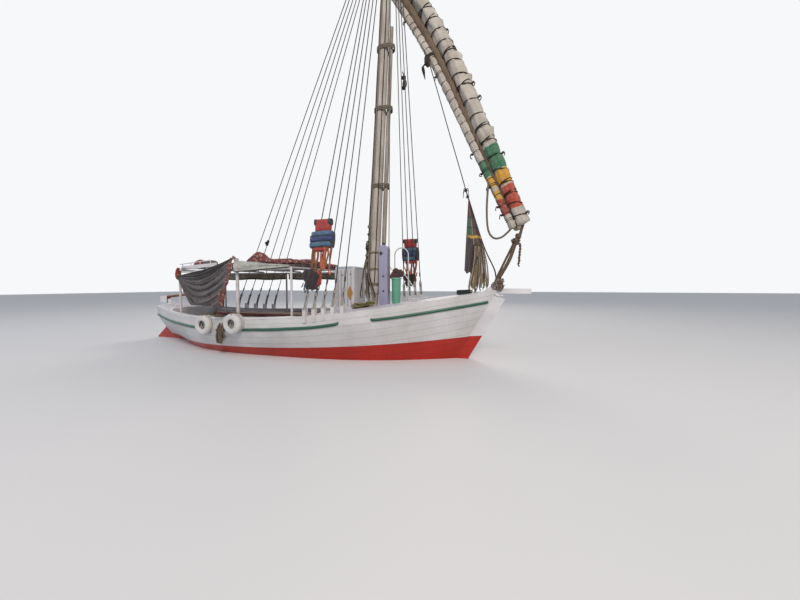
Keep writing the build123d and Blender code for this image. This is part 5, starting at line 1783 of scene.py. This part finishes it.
def buildCabinetTrim():
    # The cabinet's corner battens, board seams and two knobs, and a bare lozenge plate
    low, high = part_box("galley_cabinet")
    bag = emptyBag()
    base = max(deckAt(low[0] + 0.05, low[1] + 0.05), deckAt(high[0] - 0.05, low[1] + 0.05)) + 0.01
    for x in (low[0] + 0.004, high[0] - 0.034):
        for y in (low[1] - 0.006, high[1] - 0.024):
            blockInto(bag, (x, y, base), (x + 0.030, y + 0.030, high[2] - 0.06))
    for k in range(1, cabinet["seams"]):
        x = low[0] + (high[0] - low[0]) * k / cabinet["seams"]
        blockInto(bag, (x - 0.0035, low[1] - 0.0025, base + 0.02), (x + 0.0035, low[1] + 0.001, high[2] - 0.07), 1)
    for x, z in ((low[0] + 0.16, high[2] - 0.155), (high[0] - 0.07, high[2] - 0.140)):
        tubeInto(bag, [(x, low[1] + 0.002, z), (x, low[1] - 0.016, z)], 0.012, 12, 1)
    x, wide, tall = high[0] - 0.085, *cabinet["lozenge"]
    barInto(bag, [[(x + wide, y, 1.115), (x, y, 1.115 + tall), (x - wide, y, 1.115), (x, y, 1.115 - tall)]
                  for y in (low[1] - 0.004, low[1] - 0.010)], 2)
    makePiece("cabinet_trim", bag, [cabinetPaint, seamDark, plateOchre], "hull", False)


def buildCabinetCap():
    low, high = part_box("galley_cabinet")
    inset = cabinet["corner"]
    centres = ((high[0] - inset, high[1] - inset), (low[0] + inset, high[1] - inset),
               (low[0] + inset, low[1] + inset), (high[0] - inset, low[1] + inset))
    rows = []
    for rise, out in cabinet["edge"]:
        turns = [(centre, math.radians(quarter * 90 + step * 22.5))
                 for quarter, centre in enumerate(centres) for step in range(5)]
        rows.append([(x + math.cos(a) * (inset + out), y + math.sin(a) * (inset + out), high[2] - 0.052 + rise)
                     for (x, y), a in turns])
    bag = emptyBag()
    barInto(bag, rows)
    makePiece("cabinet_cap", bag, [capPaint], "hull")


def buildDeckTrim():
    # Bolts on the mast post, and cleats by the mast and on the stern deck
    bag = emptyBag()
    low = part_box("mast_post")[0]
    for x, z, out, radius, sides in ((0.05, 1.84, 0.028, 0.024, 14), (0.09, 1.15, 0.014, 0.014, 12),
                                     (0.09, 1.42, 0.014, 0.014, 12)):
        tubeInto(bag, [(low[0] + x, low[1] + 0.004, z), (low[0] + x, low[1] - out, z)], radius, sides)
    for x, y in ((2.55, -0.35), (2.55, 0.35), (-3.05, -0.28), (-3.05, 0.28)):
        z = deckAt(x, y)
        for shift in (-0.035, 0.035):
            tubeInto(bag, [(x + shift, y, z - 0.005), (x + shift, y, z + 0.035)], 0.010, 10, 1)
        ropeRun(bag, [(x - 0.11, y, z + 0.050), (x - 0.05, y, z + 0.038), (x + 0.05, y, z + 0.038),
                      (x + 0.11, y, z + 0.050)], 0.011, 5, 10, 1)
    makePiece("deck_bolts_and_cleats", bag, [blackIron, whiteIron], "hull")


def buildRudderStraps():
    # Iron straps on both faces of the rudder at its two pins, each with three bolts
    bag = emptyBag()
    for z in (-0.18, 0.56):
        hinge = -3.456 - 0.247 * z
        for side in (-1, 1):
            y = side * 0.025
            barInto(bag, [sectionAt("strap", hinge - 0.19 * share, y, z, side) for share in (0.0, 0.5, 1.0)])
            for share in (0.2, 0.5, 0.8):
                x = hinge - 0.19 * share
                tubeInto(bag, [(x, y + side * 0.004, z), (x, y + side * 0.010, z)], 0.007)
    makePiece("rudder_straps", bag, [blackIron], "rudder", False)


railCap = {"aft": -3.42, "length": 4.12, "count": 64, "coarse": 0.02, "levels": 70, "fine": 0.001, "spread": 2}


def buildRailCap():
    # Planed cap on the bulwark, a little wider than the planking under it
    bag = emptyBag()
    for side in (-1, 1):
        edge = []
        for x in (railCap["aft"] + railCap["length"] * k / (railCap["count"] - 1) for k in range(railCap["count"])):
            for z in (railCap["coarse"] * i for i in reversed(range(railCap["levels"]))):
                hit = sightIn(deckTree, x, z, side)
                if hit and hit.y * side > 0.02:
                    finer = [sightIn(deckTree, x, z + railCap["fine"] * i, side) for i in range(20)]
                    top = max(i for i, spot in enumerate(finer) if spot and spot.y * side > hit.y * side - 0.03)
                    edge.append((x, hit.y, z + railCap["fine"] * top))
                    break
        rows = []
        for k, (x, _, _) in enumerate(edge):
            around = edge[max(0, k - railCap["spread"]):k + railCap["spread"] + 1]
            y, z = (sum(e[axis] for e in around) / len(around) for axis in (1, 2))
            rows.append(sectionAt("cap", x, y, z, side))
        barInto(bag, rows)
    makePiece("bulwark_cap", bag, [trimPaint], "hull", False)


strake = {
    "aft": -3.75, "length": 7.5, "count": 301, "lowest": 0.30, "step": 0.012, "levels": 90, "spread": 8,
    # Its half-round section as shares of its height and how far it stands off the planking
    "section": ((0.0, -0.004), (0.10, 0.020), (0.5, 0.030), (0.90, 0.020), (1.0, -0.004)),
}


def strakeRuns(tree, side):
    # Runs of the sawn strake on one side, each a list of x, low and high, felt from outside
    runs = [[]]
    for x in (strake["aft"] + strake["length"] * k / (strake["count"] - 1) for k in range(strake["count"])):
        found = [z for z in (strake["lowest"] + strake["step"] * i for i in range(strake["levels"]))
                 if sightIn(tree, x, z, side, 2.9)]
        if not found:
            runs.append([])
            continue
        ends = []
        for edge, step in ((found[0], -strake["step"] / 2), (found[-1], strake["step"] / 2)):
            while abs(step) > 0.0004:
                if sightIn(tree, x, edge + step, side, 2.9):
                    edge += step
                else:
                    step /= 2
            ends.append(edge)
        runs[-1].append((x, *ends))
    return [run for run in runs if len(run) > 3]


def buildStrakes():
    # Half-round rubbing strakes that follow the planking, along the sawn ones' lines
    tree = carrierTree("rubbing_strakes")
    bag = emptyBag()
    for side in (-1, 1):
        for run in strakeRuns(tree, side):
            rows = []
            tall = sorted(high - low for _, low, high in run)[len(run) // 2]
            for k, (x, _, _) in enumerate(run):
                near = min(strake["spread"], k, len(run) - 1 - k)
                around = run[k - near:k + near + 1]
                low = sum(r[1] + r[2] - tall for r in around) / len(around) / 2
                ease = min(1.0, (k + 1) / 3, (len(run) - k) / 3)
                row = []
                for share, out in strake["section"]:
                    z = low + share * tall
                    hit = sightIn(deckTree, x, z, side)
                    if hit:
                        row.append((x, hit.y + side * (out if out < 0 else out * ease), z))
                if len(row) == len(strake["section"]):
                    rows.append(row)
            barInto(bag, rows)
    makePiece("rubbing_strake_mouldings", bag, [strakePaint], "hull", replaces="rubbing_strakes")


binCloth = wovenCloth("binMaroonCloth", "#4e2b33", "#2f2327", 0.006, 0.88)
binGear = {
    "shortCane": ((1.92, 0.10, 1.63), (2.06, 0.10, 1.44)), "longCane": ((2.16, 0.10, 1.55), (2.56, 0.10)),
    # Lumps of cloth: shift from the bin's mouth, width, height and seed
    "lumps": (((-0.02, 0.0, 0.035), 0.095, 0.070, 1.5), ((0.05, 0.02, 0.075), 0.085, 0.065, 3.5),
              ((0.00, -0.02, 0.12), 0.055, 0.050, 5.5)),
}


def buildBinGear():
    # The bin's rolled rim, painted paler than the bin as a highlight, the cloth stuffed in its mouth, and two thin
    # canes that stand by the hoop
    low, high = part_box("deck_bin")
    centre = Vector(((low[0] + high[0]) / 2, (low[1] + high[1]) / 2, high[2]))
    radius = (high[0] - low[0]) / 2 + 0.002
    bag = emptyBag()
    # The rim tube is painted paler green as a highlight
    tubeInto(bag, [centre + Vector((math.cos(a) * radius, math.sin(a) * radius, -0.012))
                   for a in (fullTurn * k / 36 for k in range(37))], 0.010)
    start, foot = binGear["longCane"]
    for start, end in (binGear["shortCane"], (start, (*foot, deckAt(*foot) + 0.01))):
        tubeInto(bag, [start, (Vector(start) + Vector(end)) / 2, end], 0.009, 8, 1)
    makePiece("bin_rim_highlight_and_canes", bag, [rimHighlightPlastic, whiteIron], "hull")
    cloth = emptyBag()
    for shift, wide, tall, seed in binGear["lumps"]:
        lumpInto(cloth, centre + Vector(shift), (wide, wide * 0.9, tall), seed, 0.28, 7, 0, 24, 32)
    makePiece("cloth_in_bin", cloth, [binCloth], "hull")


def buildStemScroll():
    # The carved scroll round the stemhead, through which the bow beam passes
    bag = emptyBag()
    for side in (-1, 1):
        path = []
        for k in range(22):
            a = math.radians(50 + 255 * k / 21)
            reach = 0.105 - 0.0010 * k
            path.append((3.905 + math.cos(a) * reach, side * (0.046 + 0.004 * math.sin(k * 0.3)),
                         1.165 + math.sin(a) * reach))
        tubeInto(bag, path, 0.016)
    makePiece("stem_scroll", bag, [trimPaint], "hull")


def paintTillerCheeks():
    # The two cheeks that hold the tiller to the rudder head are white
    cheeks = nodes["tiller"].data
    cheeks.materials.append(trimPaint)
    for polygon in cheeks.polygons:
        if polygon.center.x < -3.70:
            polygon.material_index = 1


for build in (buildStrakes, buildBinGear, buildStemScroll, buildRibs, buildSoleBoards, buildCabinetTrim,
              buildCabinetCap, buildDeckTrim, buildRudderStraps, buildRailCap, paintTillerCheeks):
    build()
print("trim")
